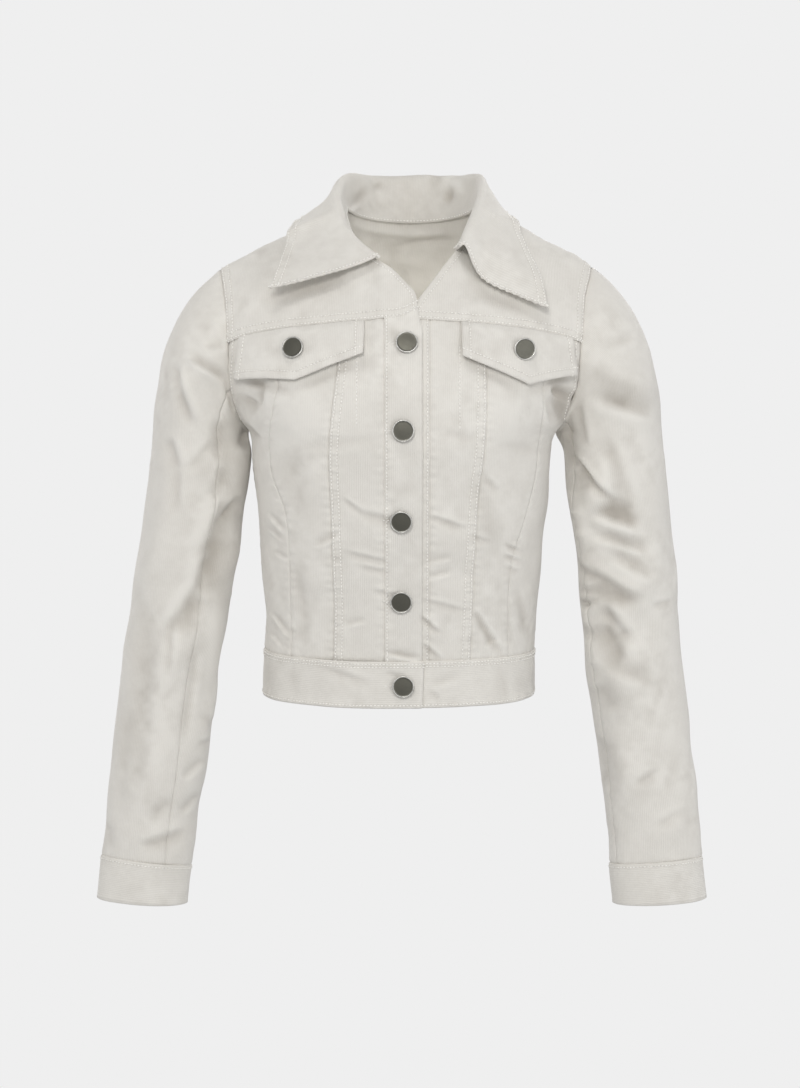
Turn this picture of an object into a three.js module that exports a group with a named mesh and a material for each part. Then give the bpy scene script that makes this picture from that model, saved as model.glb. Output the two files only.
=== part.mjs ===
import * as THREE from "three";

// A cropped corduroy jacket, filled out as on a body with nobody in it, in millimetres with +Z up.
// The origin lies midway between the two points where the neckline crosses the shoulders.
// The front faces -Y. Left and right are the wearer's, so the right side of the garment lies at -X.

// Thickness of the walls: one layer of corduroy, and a folded double layer.
const CLOTH = 1.6;
const DOUBLE = 2.6;
const SEAM_GAP = 0.36;
const LAY_GAP = 0.6;

// Horizontal sections of the torso. middle is the sideways place of the section, halfWidth its reach
// to each side, front and back its reach from the side seams. Above the underarms the width is that
// of the chest carried on through the armholes.
const BODY = [
  { z: -460, middle: -4.5, halfWidth: 126.5, front: 93, back: 80 },
  { z: -408, middle: -2.5, halfWidth: 126, front: 93, back: 78 },
  { z: -350, middle: -1.5, halfWidth: 128.5, front: 100, back: 82 },
  { z: -280, middle: -0.8, halfWidth: 134.5, front: 112, back: 92 },
  { z: -218, middle: -1, halfWidth: 139.5, front: 121, back: 103 },
  { z: -205, middle: -0.6, halfWidth: 143, front: 122, back: 104 },
  { z: -192, middle: -0.2, halfWidth: 152, front: 122, back: 106 },
  { z: -160, middle: 0.5, halfWidth: 166, front: 119, back: 108 },
  { z: -110, middle: 1.5, halfWidth: 181, front: 105, back: 104 },
  { z: -60, middle: 2, halfWidth: 192, front: 84, back: 93 },
  { z: -20, middle: 6, halfWidth: 199, front: 67, back: 79 },
  { z: 20, middle: 9, halfWidth: 205, front: 57, back: 72 },
];
const ROUNDNESS = 2.3;

// The line of the shoulders, measured out from the middle of the neck.
const SHOULDER = [
  { out: 0, right: 50, left: 50 },
  { out: 40, right: 22, left: 22 },
  { out: 62, right: 1, left: 1 },
  { out: 102, right: -17, left: -14.5 },
  { out: 125, right: -29.5, left: -26 },
  { out: 144, right: -39.6, left: -35.5 },
  { out: 160, right: -48, left: -44 },
  { out: 172, right: -55.5, left: -53.5 },
  { out: 205, right: -78, left: -76 },
];
const SHOULDER_FALL = 160;
const SHOULDER_POWER = 1.8;

// Where the neckline, the armholes, the yoke seam and the waistband lie.
const NECK_OUT = 62;
const BACK_NECK_DIP = 10;
const TIP_OUT = 171;
const UNDERARM_Z = -205;
const YOKE_MIDDLE_Z = -100.5;
const YOKE_DROP = 21;
const YOKE_END_TURN = 62;
const YOKE_RISE = 7;
const BAND_TOP_Z = -409;
const HEM_Z = -451;

// The armholes: the angle round the torso at each height, from the nearer centre line.
const ARMHOLE = [
  { z: -205, front: 90, back: 90 },
  { z: -200, front: 86.4, back: 86 },
  { z: -194, front: 83.2, back: 82.6 },
  { z: -181, front: 78.4, back: 77 },
  { z: -160, front: 72, back: 70 },
  { z: -138, front: 66, back: 64 },
  { z: -112, front: 61.5, back: 60.5 },
  { z: -86, front: 59.5, back: 59 },
  { z: -56, front: 60.6, back: 60.6 },
];

// The overlap at the centre front. The right front lies over the left one.
const OVERLAP = 16.5;
const BAND_STITCH = 13;
const BUTTON_BAND_REACH = 23;
const PLACKET_LIFT = CLOTH / 2 + LAY_GAP + DOUBLE / 2;

// Seams of the fronts: how far each lies from the centre front at each height.
const PANEL_SEAM = {
  right: [
    { z: -409, out: 60 },
    { z: -342, out: 61 },
    { z: -273, out: 63.5 },
    { z: -213, out: 64.5 },
    { z: -140, out: 59 },
    { z: -100, out: 56 },
  ],
  left: [
    { z: -409, out: 63 },
    { z: -367, out: 64 },
    { z: -283, out: 66.5 },
    { z: -216, out: 72.5 },
    { z: -146, out: 73 },
    { z: -100, out: 72 },
  ],
};
const SIDE_FRONT_SEAM = {
  right: [
    { z: -409, out: 99.5 },
    { z: -360, out: 101 },
    { z: -318, out: 102 },
    { z: -275, out: 106 },
    { z: -236, out: 118.5 },
    { z: -197, out: 119 },
    { z: -157, out: 112.5 },
    { z: -110, out: 110 },
  ],
  left: [
    { z: -409, out: 99 },
    { z: -360, out: 97 },
    { z: -318, out: 100 },
    { z: -275, out: 113 },
    { z: -236, out: 121.5 },
    { z: -197, out: 125 },
    { z: -157, out: 127 },
    { z: -110, out: 122 },
  ],
};

// The front edge of each yoke, from the yoke seam up to the shoulder, as places in the part's frame.
const NECK_EDGE = {
  right: [
    { x: 12.3, z: -93.5 },
    { x: 10, z: -80 },
    { x: 2.5, z: -70.5 },
    { x: -9, z: -58.5 },
    { x: -24, z: -48.5 },
    { x: -41, z: -34 },
    { x: -52, z: -14 },
    { x: -55, z: 1 },
  ],
  left: [
    { x: 4, z: -100 },
    { x: 12, z: -86.5 },
    { x: 21, z: -74.5 },
    { x: 34.5, z: -57 },
    { x: 49, z: -39 },
    { x: 60, z: -22 },
    { x: 68.5, z: -7 },
    { x: 71.5, z: 1 },
  ],
};
const COLLAR_STARTS = { right: 0.56, left: 0.56 };

// Sections of the sleeves across their length, from the underarm down to the hem of the cuff.
const SLEEVE = {
  right: [
    { z: -226, out: 189, y: 2, halfWidth: 45.5, halfDepth: 54 },
    { z: -279, out: 195.7, y: 4, halfWidth: 45.5, halfDepth: 53 },
    { z: -326, out: 203.5, y: 4, halfWidth: 45, halfDepth: 51 },
    { z: -370, out: 210, y: 2, halfWidth: 45.5, halfDepth: 48 },
    { z: -422, out: 219, y: -2, halfWidth: 44, halfDepth: 44 },
    { z: -468, out: 224.5, y: -6, halfWidth: 43.5, halfDepth: 41 },
    { z: -512, out: 230, y: -10, halfWidth: 43.5, halfDepth: 38 },
    { z: -556, out: 235.5, y: -15, halfWidth: 42, halfDepth: 35 },
    { z: -614, out: 242.5, y: -22, halfWidth: 41.5, halfDepth: 31 },
    { z: -646, out: 246, y: -26, halfWidth: 42, halfDepth: 30 },
  ],
  left: [
    { z: -226, out: 197, y: 2, halfWidth: 46, halfDepth: 54 },
    { z: -279, out: 203.5, y: 4, halfWidth: 46, halfDepth: 53 },
    { z: -326, out: 209.8, y: 4, halfWidth: 45.5, halfDepth: 51 },
    { z: -370, out: 213.5, y: 2, halfWidth: 45, halfDepth: 48 },
    { z: -422, out: 217.5, y: -2, halfWidth: 44.5, halfDepth: 44 },
    { z: -468, out: 223.5, y: -6, halfWidth: 44, halfDepth: 41 },
    { z: -512, out: 229, y: -10, halfWidth: 43.5, halfDepth: 38 },
    { z: -556, out: 234.5, y: -15, halfWidth: 43.5, halfDepth: 35 },
    { z: -614, out: 239, y: -22, halfWidth: 43, halfDepth: 31 },
    { z: -646, out: 242, y: -26, halfWidth: 43.5, halfDepth: 30 },
  ],
};
const CUFF_TOP_Z = -608;
const CUFF_HEM_Z = -645;

const HEAD_SHARE = 0.36;
const HEAD_START = 0.004;

// Degrees round the sleeve, from 0 on the outer side through 90 at the front to 180 at the body.
const SLEEVE_SEAMS = {
  right: { front: 118, back: 246 },
  left: { front: 152, back: 246 },
};

// The collar, from the centre back to each front end. seam lies on the neckline, roll is the top of
// the turned cloth, edge is the free edge of the leaf, and reach is half the width of the roll.
const COLLAR = {
  right: [
    { along: 0, rollX: 8.6, rollY: 63, rollZ: 34, edgeX: 8.6, edgeY: 93, edgeZ: -24, reach: 4.5, sag: 0 },
    { along: 0.22, rollX: -28, rollY: 53, rollZ: 33, edgeX: -42, edgeY: 84, edgeZ: -27, reach: 4.5, sag: 1 },
    { along: 0.42, rollX: -53, rollY: 24, rollZ: 33, edgeX: -82, edgeY: 48, edgeZ: -27, reach: 4.5, sag: 3 },
    { along: 0.6, rollX: -62.5, rollY: -9, rollZ: 17, edgeX: -98, edgeY: 0, edgeZ: -13, reach: 4.5, sag: 4 },
    { along: 0.76, rollX: -56, rollY: -37, rollZ: -12, edgeX: -107, edgeY: -38, edgeZ: -33, reach: 4, sag: 3 },
    { along: 0.9, rollX: -39.5, rollY: -62, rollZ: -32.5, edgeX: -114, edgeY: -62, edgeZ: -58, reach: 3.5, sag: 2 },
    { along: 1, rollX: -24, rollY: -77, rollZ: -44.5, edgeX: -120, edgeY: -74, edgeZ: -74, reach: 3, sag: 2 },
  ],
  left: [
    { along: 0, rollX: 8.6, rollY: 63, rollZ: 34, edgeX: 8.6, edgeY: 93, edgeZ: -24, reach: 4.5, sag: 0 },
    { along: 0.22, rollX: 46, rollY: 53, rollZ: 33, edgeX: 60, edgeY: 84, edgeZ: -27, reach: 4.5, sag: 1 },
    { along: 0.42, rollX: 71.5, rollY: 24, rollZ: 32.5, edgeX: 91, edgeY: 46, edgeZ: -26, reach: 4.5, sag: -3 },
    { along: 0.6, rollX: 73, rollY: -12, rollZ: 17, edgeX: 96, edgeY: -2, edgeZ: -17, reach: 4.5, sag: -3 },
    { along: 0.78, rollX: 65.5, rollY: -44, rollZ: -7, edgeX: 115.5, edgeY: -41, edgeZ: -43, reach: 4, sag: 2 },
    { along: 0.9, rollX: 58, rollY: -62, rollZ: -22, edgeX: 125.5, edgeY: -63, edgeZ: -67, reach: 3.5, sag: 9 },
    { along: 1, rollX: 54, rollY: -73, rollZ: -34, edgeX: 129.5, edgeY: -79, edgeZ: -90, reach: 2.6, sag: 17 },
  ],
};
const COLLAR_CLEAR = 2.7;
const CREST_CLEAR = 1.2;
const UNDERARM_GAP = 2.8;

// The pocket flaps hang from the yoke seam: how far out each end and the low point lie, how deep the
// flap is there, and how far its lower edge stands off the front.
const FLAP = {
  right: { inner: 36, point: 95, outer: 148, innerDeep: 30, pointDeep: 47, outerDeep: 37, stand: 5 },
  left: { inner: 50, point: 109, outer: 151, innerDeep: 32, pointDeep: 49, outerDeep: 32, stand: 5 },
};

// The buttons: a domed cap with a rim, on a shank that stands on the cloth.
const BUTTON = { radius: 10, rim: 1.1, rise: 1.5, shankRadius: 3, shankHeight: 2.2, sides: 16 };
const BUTTON_ROW = [
  { name: "button_1", x: 3.2, z: -123 },
  { name: "button_2", x: 0, z: -198.5 },
  { name: "button_3", x: -1.8, z: -279 },
  { name: "button_4", x: -1.8, z: -352.5 },
  { name: "button_waistband", x: 0, z: -431 },
];
const FLAP_BUTTONS = {
  right: { out: 98, down: 21 },
  left: { out: 105, down: 21 },
};

// The largest folds. place is in degrees round the torso or the sleeve, z the height of the fold's
// middle, slant its lean from upright, and depth how far the cloth sinks, or stands out if negative.
const TORSO_FOLDS = [
  { place: -58, z: -172, slant: 35, length: 60, width: 14.9, depth: 6 },
  { place: 60, z: -170, slant: -35, length: 62, width: 14.9, depth: 6 },
  { place: -30, z: -352, slant: 82, length: 70, width: 12.2, depth: 1.8 },
  { place: 27, z: -330, slant: -80, length: 74, width: 12.2, depth: 1.8 },
  { place: 36, z: -386, slant: -40, length: 60, width: 12.2, depth: 2.2 },
  { place: -62, z: -300, slant: 78, length: 52, width: 10.8, depth: 2.2 },
  { place: 64, z: -318, slant: -78, length: 56, width: 10.8, depth: 2.2 },
  { place: -128, z: -330, slant: 80, length: 90, width: 13.5, depth: 3 },
  { place: 132, z: -342, slant: -80, length: 90, width: 13.5, depth: 3 },
  { place: 168, z: -372, slant: 88, length: 120, width: 13.5, depth: 2.6 },
  { place: 176, z: -60, slant: 88, length: 120, width: 14.9, depth: 3.2 },
];
const SLEEVE_FOLDS = {
  right: [
    { place: 82, z: -150, slant: 26, length: 120, width: 13.5, depth: 6 },
    { place: 128, z: -170, slant: -28, length: 70, width: 13.5, depth: 5 },
    { place: 60, z: -300, slant: 6, length: 190, width: 16.2, depth: 4 },
    { place: 150, z: -330, slant: 40, length: 90, width: 16.2, depth: 5 },
    { place: 100, z: -405, slant: 24, length: 100, width: 17.6, depth: 5 },
    { place: 160, z: -470, slant: 30, length: 90, width: 14.9, depth: 4 },
    { place: 88, z: -520, slant: 2, length: 150, width: 16.2, depth: 3.4 },
    { place: 70, z: -585, slant: 70, length: 60, width: 13.5, depth: 3.2 },
    { place: 262, z: -330, slant: -30, length: 120, width: 16.2, depth: 5 },
    { place: 290, z: -400, slant: 24, length: 110, width: 16.2, depth: 5 },
    { place: 268, z: -500, slant: -18, length: 120, width: 16.2, depth: 4 },
  ],
  left: [
    { place: 60, z: -160, slant: 66, length: 80, width: 14.9, depth: 5 },
    { place: 118, z: -262, slant: -34, length: 110, width: 14.9, depth: 7 },
    { place: 84, z: -345, slant: -48, length: 96, width: 16.2, depth: 6 },
    { place: 140, z: -330, slant: -30, length: 110, width: 14.9, depth: 5 },
    { place: 108, z: -430, slant: -26, length: 110, width: 17.6, depth: 6 },
    { place: 120, z: -520, slant: -12, length: 110, width: 16.2, depth: 4 },
    { place: 70, z: -575, slant: -58, length: 64, width: 13.5, depth: 3.4 },
    { place: 262, z: -320, slant: 30, length: 120, width: 16.2, depth: 5 },
    { place: 290, z: -420, slant: -24, length: 110, width: 16.2, depth: 5 },
    { place: 268, z: -520, slant: 18, length: 120, width: 16.2, depth: 4 },
  ],
};
const TORSO_RADIUS = 120;
const SLEEVE_RADIUS = 48;

// How finely the pieces are divided: along the length and across.
const GRID = {
  back: [20, 20],
  centre: [20, 5],
  middle: [20, 4],
  side: [20, 5],
  strip: [20, 2],
  yoke: [12, 9],
  upperSleeve: [26, 14],
  underSleeve: [26, 8],
  cuff: [3, 22],
  waistband: [2, 52],
  collar: [34, 13],
  flap: [4, 8],
};

const SIDES = { right: -1, left: 1 };
const radians = (degrees) => (degrees * Math.PI) / 180;
const mix = (a, b, t) => a + (b - a) * t;
const clamp = (value, low, high) => Math.min(high, Math.max(low, value));
const smooth = (t) => clamp(t, 0, 1) ** 2 * (3 - 2 * clamp(t, 0, 1));
const signedPower = (value, power) => Math.sign(value) * Math.abs(value) ** power;

// The value of a table's column at a key, on a smooth curve through its rows.
function through(rows, keyName, key, column) {
  const at = (i) => rows[clamp(i, 0, rows.length - 1)];
  const rising = rows[rows.length - 1][keyName] > rows[0][keyName];
  let i = 0;
  while (i < rows.length - 2 && (rising ? at(i + 1)[keyName] < key : at(i + 1)[keyName] > key)) i += 1;
  const slope = (j) => {
    const before = at(j - 1);
    const after = at(j + 1);
    return (after[column] - before[column]) / (after[keyName] - before[keyName]);
  };
  const span = at(i + 1)[keyName] - at(i)[keyName];
  const t = clamp((key - at(i)[keyName]) / span, 0, 1);
  const lowBasis = 2 * t ** 3 - 3 * t ** 2 + 1;
  const lowTangent = t ** 3 - 2 * t ** 2 + t;
  const highTangent = t ** 3 - t ** 2;
  return (
    lowBasis * at(i)[column] +
    (1 - lowBasis) * at(i + 1)[column] +
    span * (lowTangent * slope(i) + highTangent * slope(i + 1))
  );
}

// The value of a table's columns at a share of the way down its rows.
function alongRows(rows, share, column) {
  const numbered = rows.map((row, i) => ({ ...row, share: i / (rows.length - 1) }));
  return through(numbered, "share", share, column);
}

const shoulderZ = (out) => through(SHOULDER, "out", Math.abs(out), out < 0 ? "right" : "left");

// How much of its full depth the body has at a place below the line of the shoulders.
function shoulderShare(out, z) {
  const fall = clamp((shoulderZ(out) - z) / SHOULDER_FALL, 0, 1);
  return (1 - (1 - fall) ** SHOULDER_POWER) ** (1 / SHOULDER_POWER);
}

// How deep a set of folds is at a place given in millimetres round and up the cloth.
function foldDepth(folds, around, z, radius) {
  let sum = 0;
  for (const fold of folds) {
    const turn = ((around / radius - radians(fold.place) + 3 * Math.PI) % (2 * Math.PI)) - Math.PI;
    const dx = turn * radius;
    const dz = z - fold.z;
    const lean = radians(fold.slant);
    const along = (dx * Math.sin(lean) + dz * Math.cos(lean)) / (fold.length / 2);
    const across = (dx * Math.cos(lean) - dz * Math.sin(lean)) / fold.width;
    sum += fold.depth * Math.exp(-across * across) * (1 - smooth(Math.abs(along)));
  }
  return sum;
}

// The angle round the torso, 0 at the centre front and 180 at the back, of a place on a section.
function turnAt(x, z) {
  const share = (x - through(BODY, "z", z, "middle")) / through(BODY, "z", z, "halfWidth");
  return (Math.asin(clamp(signedPower(share, ROUNDNESS / 2), -1, 1)) * 180) / Math.PI;
}

// A place on the torso, from the angle round it and the height, without its folds.
function bodyPoint(turn, z) {
  const halfWidth = through(BODY, "z", z, "halfWidth");
  const out = halfWidth * signedPower(Math.sin(radians(turn)), 2 / ROUNDNESS);
  const forward = signedPower(Math.cos(radians(turn)), 2 / ROUNDNESS);
  const depth = through(BODY, "z", z, forward > 0 ? "front" : "back");
  return new THREE.Vector3(
    through(BODY, "z", z, "middle") + out,
    -depth * forward * shoulderShare(out, z),
    z,
  );
}

// The outward direction of the torso's surface at a place on it.
function bodyNormal(turn, z) {
  const step = 0.5;
  const place = bodyPoint(turn, z);
  const out = place.x - through(BODY, "z", z, "middle");
  const below = shoulderZ(out) - z;
  const slope = (shoulderZ(out + step) - shoulderZ(out - step)) / (2 * step);
  const crest = new THREE.Vector3(-slope, 0, 1).normalize();
  const low = Math.min(z, z + below - 3 * step);
  const acrossStep = bodyPoint(turn + step, low).sub(bodyPoint(turn - step, low));
  const upStep = bodyPoint(turn, low + step).sub(bodyPoint(turn, low - step));
  const normal = acrossStep.cross(upStep).normalize();
  return normal.lerp(crest, 1 - smooth(below / 9)).normalize();
}

// A place on the torso's cloth, moved out by a lift, with its folds.
function clothPoint(turn, z, lift) {
  const sunk = foldDepth(TORSO_FOLDS, radians(turn) * TORSO_RADIUS, z, TORSO_RADIUS);
  return bodyPoint(turn, z).addScaledVector(bodyNormal(turn, z), lift - sunk);
}

// A closed wall with an outer and an inner face, from a grid of middle points and normals.
function wall(points, normals, thickness, isRing = false) {
  const rows = points.length;
  const columns = points[0].length;
  const position = [];
  for (const half of [thickness / 2, -thickness / 2])
    points.forEach((line, i) =>
      line.forEach((p, j) => position.push(...p.clone().addScaledVector(normals[i][j], half).toArray())),
    );
  const outer = (i, j) => i * columns + (j % columns);
  const inner = (i, j) => rows * columns + outer(i, j);
  const index = [];
  const face = (a, b, c, d) => index.push(a, b, c, a, c, d);
  const lastColumn = isRing ? columns : columns - 1;
  for (let i = 0; i < rows - 1; i += 1)
    for (let j = 0; j < lastColumn; j += 1) {
      face(outer(i, j), outer(i, j + 1), outer(i + 1, j + 1), outer(i + 1, j));
      face(inner(i, j), inner(i + 1, j), inner(i + 1, j + 1), inner(i, j + 1));
    }
  for (let j = 0; j < lastColumn; j += 1) {
    face(outer(0, j + 1), outer(0, j), inner(0, j), inner(0, j + 1));
    face(outer(rows - 1, j), outer(rows - 1, j + 1), inner(rows - 1, j + 1), inner(rows - 1, j));
  }
  if (!isRing)
    for (let i = 0; i < rows - 1; i += 1) {
      face(outer(i, 0), outer(i + 1, 0), inner(i + 1, 0), inner(i, 0));
      face(outer(i + 1, columns - 1), outer(i, columns - 1), inner(i, columns - 1), inner(i + 1, columns - 1));
    }
  return facingOut(position, index);
}

// A geometry from positions and triangles, turned so that its faces point out.
function facingOut(position, index) {
  let volume = 0;
  const corner = (i) => new THREE.Vector3().fromArray(position, index[i] * 3);
  for (let i = 0; i < index.length; i += 3)
    volume += corner(i).dot(corner(i + 1).cross(corner(i + 2)));
  if (volume < 0)
    for (let i = 0; i < index.length; i += 3) [index[i], index[i + 1]] = [index[i + 1], index[i]];
  return new THREE.BufferGeometry()
    .setAttribute("position", new THREE.Float32BufferAttribute(position, 3))
    .setIndex(index);
}

// Normals of a grid of points, from the steps to the neighbours.
function gridNormals(points, isRing, outward) {
  const rows = points.length;
  const columns = points[0].length;
  return points.map((line, i) =>
    line.map((p, j) => {
      const left = isRing ? (j + columns - 1) % columns : Math.max(j - 1, 0);
      const right = isRing ? (j + 1) % columns : Math.min(j + 1, columns - 1);
      const up = points[Math.min(i + 1, rows - 1)][j].clone().sub(points[Math.max(i - 1, 0)][j]);
      const normal = points[i][right].clone().sub(points[i][left]).cross(up).normalize();
      return normal.multiplyScalar(outward);
    }),
  );
}

// A grid of [turn, z] places inside four seam lines, each given as a function of its share.
function coons(lines, rows, columns, rowShare = (t) => t) {
  const { low, high, start, end } = lines;
  const corner = [start(0), end(0), start(1), end(1)];
  const blend = (s, t, k) =>
    mix(start(t)[k], end(t)[k], s) +
    mix(low(s)[k], high(s)[k], t) -
    mix(mix(corner[0][k], corner[1][k], s), mix(corner[2][k], corner[3][k], s), t);
  const grid = [];
  for (let i = 0; i <= rows; i += 1) {
    const line = [];
    for (let j = 0; j <= columns; j += 1)
      line.push([blend(j / columns, rowShare(i / rows), 0), blend(j / columns, rowShare(i / rows), 1)]);
    grid.push(line);
  }
  return grid;
}

// Draws the outline of a grid of places in from its seams, so that neighbours keep a gap.
function inset(grid, gap) {
  const rows = grid.length - 1;
  const columns = grid[0].length - 1;
  const distance = (a, b) => bodyPoint(...a).distanceTo(bodyPoint(...b));
  const towards = (a, b) => {
    const share = Math.min(0.4, gap / Math.max(distance(a, b), 1e-6));
    return [mix(a[0], b[0], share), mix(a[1], b[1], share)];
  };
  for (const line of grid) {
    line[0] = towards(line[0], line[1]);
    line[columns] = towards(line[columns], line[columns - 1]);
  }
  for (let j = 0; j <= columns; j += 1) {
    grid[0][j] = towards(grid[0][j], grid[1][j]);
    grid[rows][j] = towards(grid[rows][j], grid[rows - 1][j]);
  }
  return grid;
}

// A panel of the torso between four seam lines. lift may be a number or a function of the place.
function torsoPanel(lines, [rows, columns], { thickness = CLOTH, lift = 0, rowShare } = {}) {
  const liftAt = typeof lift === "function" ? lift : () => lift;
  const places = inset(coons(lines, rows, columns, rowShare), SEAM_GAP / 2);
  const points = places.map((line, i) =>
    line.map(([turn, z], j) => clothPoint(turn, z, liftAt(turn, z, i / rows, j / columns))),
  );
  const normals = places.map((line) => line.map(([turn, z]) => bodyNormal(turn, z)));
  return wall(points, normals, thickness);
}

const yokeZ = (turn) => YOKE_MIDDLE_Z - YOKE_DROP * Math.abs(turn / YOKE_END_TURN) ** 1.5;
const liftedYokeZ = (turn) => yokeZ(turn) + YOKE_RISE * smooth((turn + 1.3) / 4);

// The angle of a front seam at a height, for one side of the garment.
function seamTurn(rows, side, z) {
  const x = SIDES[side] * through(rows, "z", z, "out");
  return turnAt(x + through(BODY, "z", z, "middle"), z);
}

// The height and angle where a front seam meets the yoke seam.
function seamTop(rows, side) {
  let z = YOKE_MIDDLE_Z;
  for (let i = 0; i < 6; i += 1) z = yokeZ(seamTurn(rows, side, z));
  return z;
}

// A front seam as a line from the waistband up to the yoke seam.
function seamLine(rows, side) {
  const top = seamTop(rows, side);
  return (t) => {
    const z = mix(BAND_TOP_Z, top, t);
    return [seamTurn(rows, side, z), z];
  };
}

// A line at a fixed distance from the centre front, from the waistband up to a height.
function uprightLine(x, topZ) {
  return (t) => {
    const z = mix(BAND_TOP_Z, topZ, t);
    return [turnAt(x, z), z];
  };
}

// The free edge of the right front, which turns in a little at its top.
function overlapEdge() {
  return (t) => {
    const z = mix(BAND_TOP_Z, liftedYokeZ(turnAt(OVERLAP, YOKE_MIDDLE_Z)), t);
    return [turnAt(OVERLAP - 4 * smooth((z + 114) / 20), z), z];
  };
}

// The armhole as angle and height: share 0 at the shoulder tip, 1 under the arm. face is 1 for the
// front and -1 for the back.
function armhole(side, face, share) {
  const z = mix(shoulderZ(SIDES[side] * TIP_OUT), UNDERARM_Z, (1 - Math.cos(Math.PI * share)) / 2);
  const turn = Math.min(through(ARMHOLE, "z", z, face > 0 ? "front" : "back"), 90);
  return [SIDES[side] * (face > 0 ? turn : 180 - turn), z];
}

// The share of the armhole where the yoke seam ends.
function yokeArmholeShare(side) {
  let low = 0;
  let high = 0.8;
  for (let i = 0; i < 24; i += 1) {
    const middle = (low + high) / 2;
    const [turn, z] = armhole(side, 1, middle);
    if (z > yokeZ(turn)) low = middle;
    else high = middle;
  }
  return low;
}

// The outer line of the side front or the back: side seam up to the underarm, then the armhole.
function sideLine(side, face, topShare) {
  const seamLength = UNDERARM_Z - BAND_TOP_Z;
  const steps = 40;
  const lengths = [0];
  for (let i = 1; i <= steps; i += 1) {
    const from = bodyPoint(...armhole(side, face, mix(1, topShare, (i - 1) / steps)));
    const to = bodyPoint(...armhole(side, face, mix(1, topShare, i / steps)));
    lengths.push(lengths[i - 1] + from.distanceTo(to));
  }
  const total = seamLength + lengths[steps];
  return (t) => {
    const length = t * total;
    if (length <= seamLength) return [SIDES[side] * 90, BAND_TOP_Z + length];
    const past = length - seamLength;
    let i = 1;
    while (i < steps && lengths[i] < past) i += 1;
    const part = clamp((past - lengths[i - 1]) / (lengths[i] - lengths[i - 1]), 0, 1);
    return armhole(side, face, mix(1, topShare, (i - 1 + part) / steps));
  };
}

// A line of angle and height between two shares of a front seam set, along the yoke or the band.
const alongYoke = (fromTurn, toTurn, height = yokeZ) => (s) => {
  const turn = mix(fromTurn, toTurn, s);
  return [turn, height(turn)];
};
const alongBand = (fromTurn, toTurn) => (s) => [mix(fromTurn, toTurn, s), BAND_TOP_Z];

// A panel between two upright lines, from the waistband to the yoke seam.
function frontPanel(start, end, grid, options) {
  const lines = {
    start,
    end,
    low: alongBand(start(0)[0], end(0)[0]),
    high: alongYoke(start(1)[0], end(1)[0], options?.height),
  };
  return torsoPanel(lines, grid, options);
}

// The front edge of a yoke as angle and height.
function neckLine(side) {
  return (t) => {
    const z = alongRows(NECK_EDGE[side], t, "z");
    return [turnAt(alongRows(NECK_EDGE[side], t, "x"), z), z];
  };
}

// The shoulder seam from the neck out to the tip, as angle and height.
function shoulderLine(side, face) {
  return (s) => {
    const out = mix(NECK_OUT, TIP_OUT, s);
    const z = shoulderZ(SIDES[side] * out) - 0.02;
    const turn = turnAt(through(BODY, "z", z, "middle") + out, z);
    return [SIDES[side] * (face > 0 ? turn : 180 - turn), z];
  };
}

// How far the right front is lifted where it lies over the left one.
function overlapLift(turn, z) {
  return (PLACKET_LIFT + 0.8 * smooth((z + 130) / 30)) * smooth((bodyPoint(turn, z).x + 36) / 20);
}

function yoke(side) {
  const share = yokeArmholeShare(side);
  const inner = neckLine(side);
  const outer = (t) => armhole(side, 1, mix(share, 0, t));
  const lines = {
    start: inner,
    end: outer,
    low: alongYoke(inner(0)[0], outer(0)[0], side === "right" ? liftedYokeZ : yokeZ),
    high: shoulderLine(side, 1),
  };
  const rowShare = (t) => Math.sin((t * Math.PI) / 2);
  return torsoPanel(lines, GRID.yoke, { rowShare, lift: side === "right" ? overlapLift : 0 });
}

function backPanel() {
  const right = sideLine("right", -1, 0);
  const left = sideLine("left", -1, 0);
  const wrap = (line, side) => (t) => {
    const [turn, z] = line(t);
    return [side < 0 ? turn + 360 : turn, z];
  };
  const neckShare = 0.31;
  const top = (s) => {
    if (s < neckShare) return shoulderLine("left", -1)(1 - s / neckShare);
    if (s > 1 - neckShare) {
      const [turn, z] = shoulderLine("right", -1)((s - 1 + neckShare) / neckShare);
      return [turn + 360, z];
    }
    const [from, fromZ] = shoulderLine("left", -1)(0);
    const [to, toZ] = shoulderLine("right", -1)(0);
    const share = (s - neckShare) / (1 - 2 * neckShare);
    const dip = BACK_NECK_DIP * Math.sin(share * Math.PI) ** 0.6;
    return [mix(from, to + 360, share), mix(fromZ, toZ, share) - dip];
  };
  const lines = {
    start: wrap(left, 1),
    end: wrap(right, -1),
    low: (s) => [mix(90, 270, s), BAND_TOP_Z],
    high: top,
  };
  return torsoPanel(lines, GRID.back, { rowShare: (t) => Math.sin((t * Math.PI) / 2) ** 0.9 });
}

// The waistband: one strip from its lower end at the centre front, round the body, to its upper end.
function waistband() {
  const from = turnAt(through(BODY, "z", HEM_Z, "middle") - 12, HEM_Z);
  const to = turnAt(OVERLAP, HEM_Z) + 360;
  const lift = (turn) => mix(0.2, PLACKET_LIFT + 1.3, smooth((turn - 318) / 26));
  const lines = {
    start: (t) => [from, mix(HEM_Z, BAND_TOP_Z, t)],
    end: (t) => [to, mix(HEM_Z, BAND_TOP_Z, t)],
    low: (s) => [mix(from, to, s), HEM_Z],
    high: (s) => [mix(from, to, s), BAND_TOP_Z],
  };
  return torsoPanel(lines, GRID.waistband, { thickness: DOUBLE, lift });
}

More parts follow.
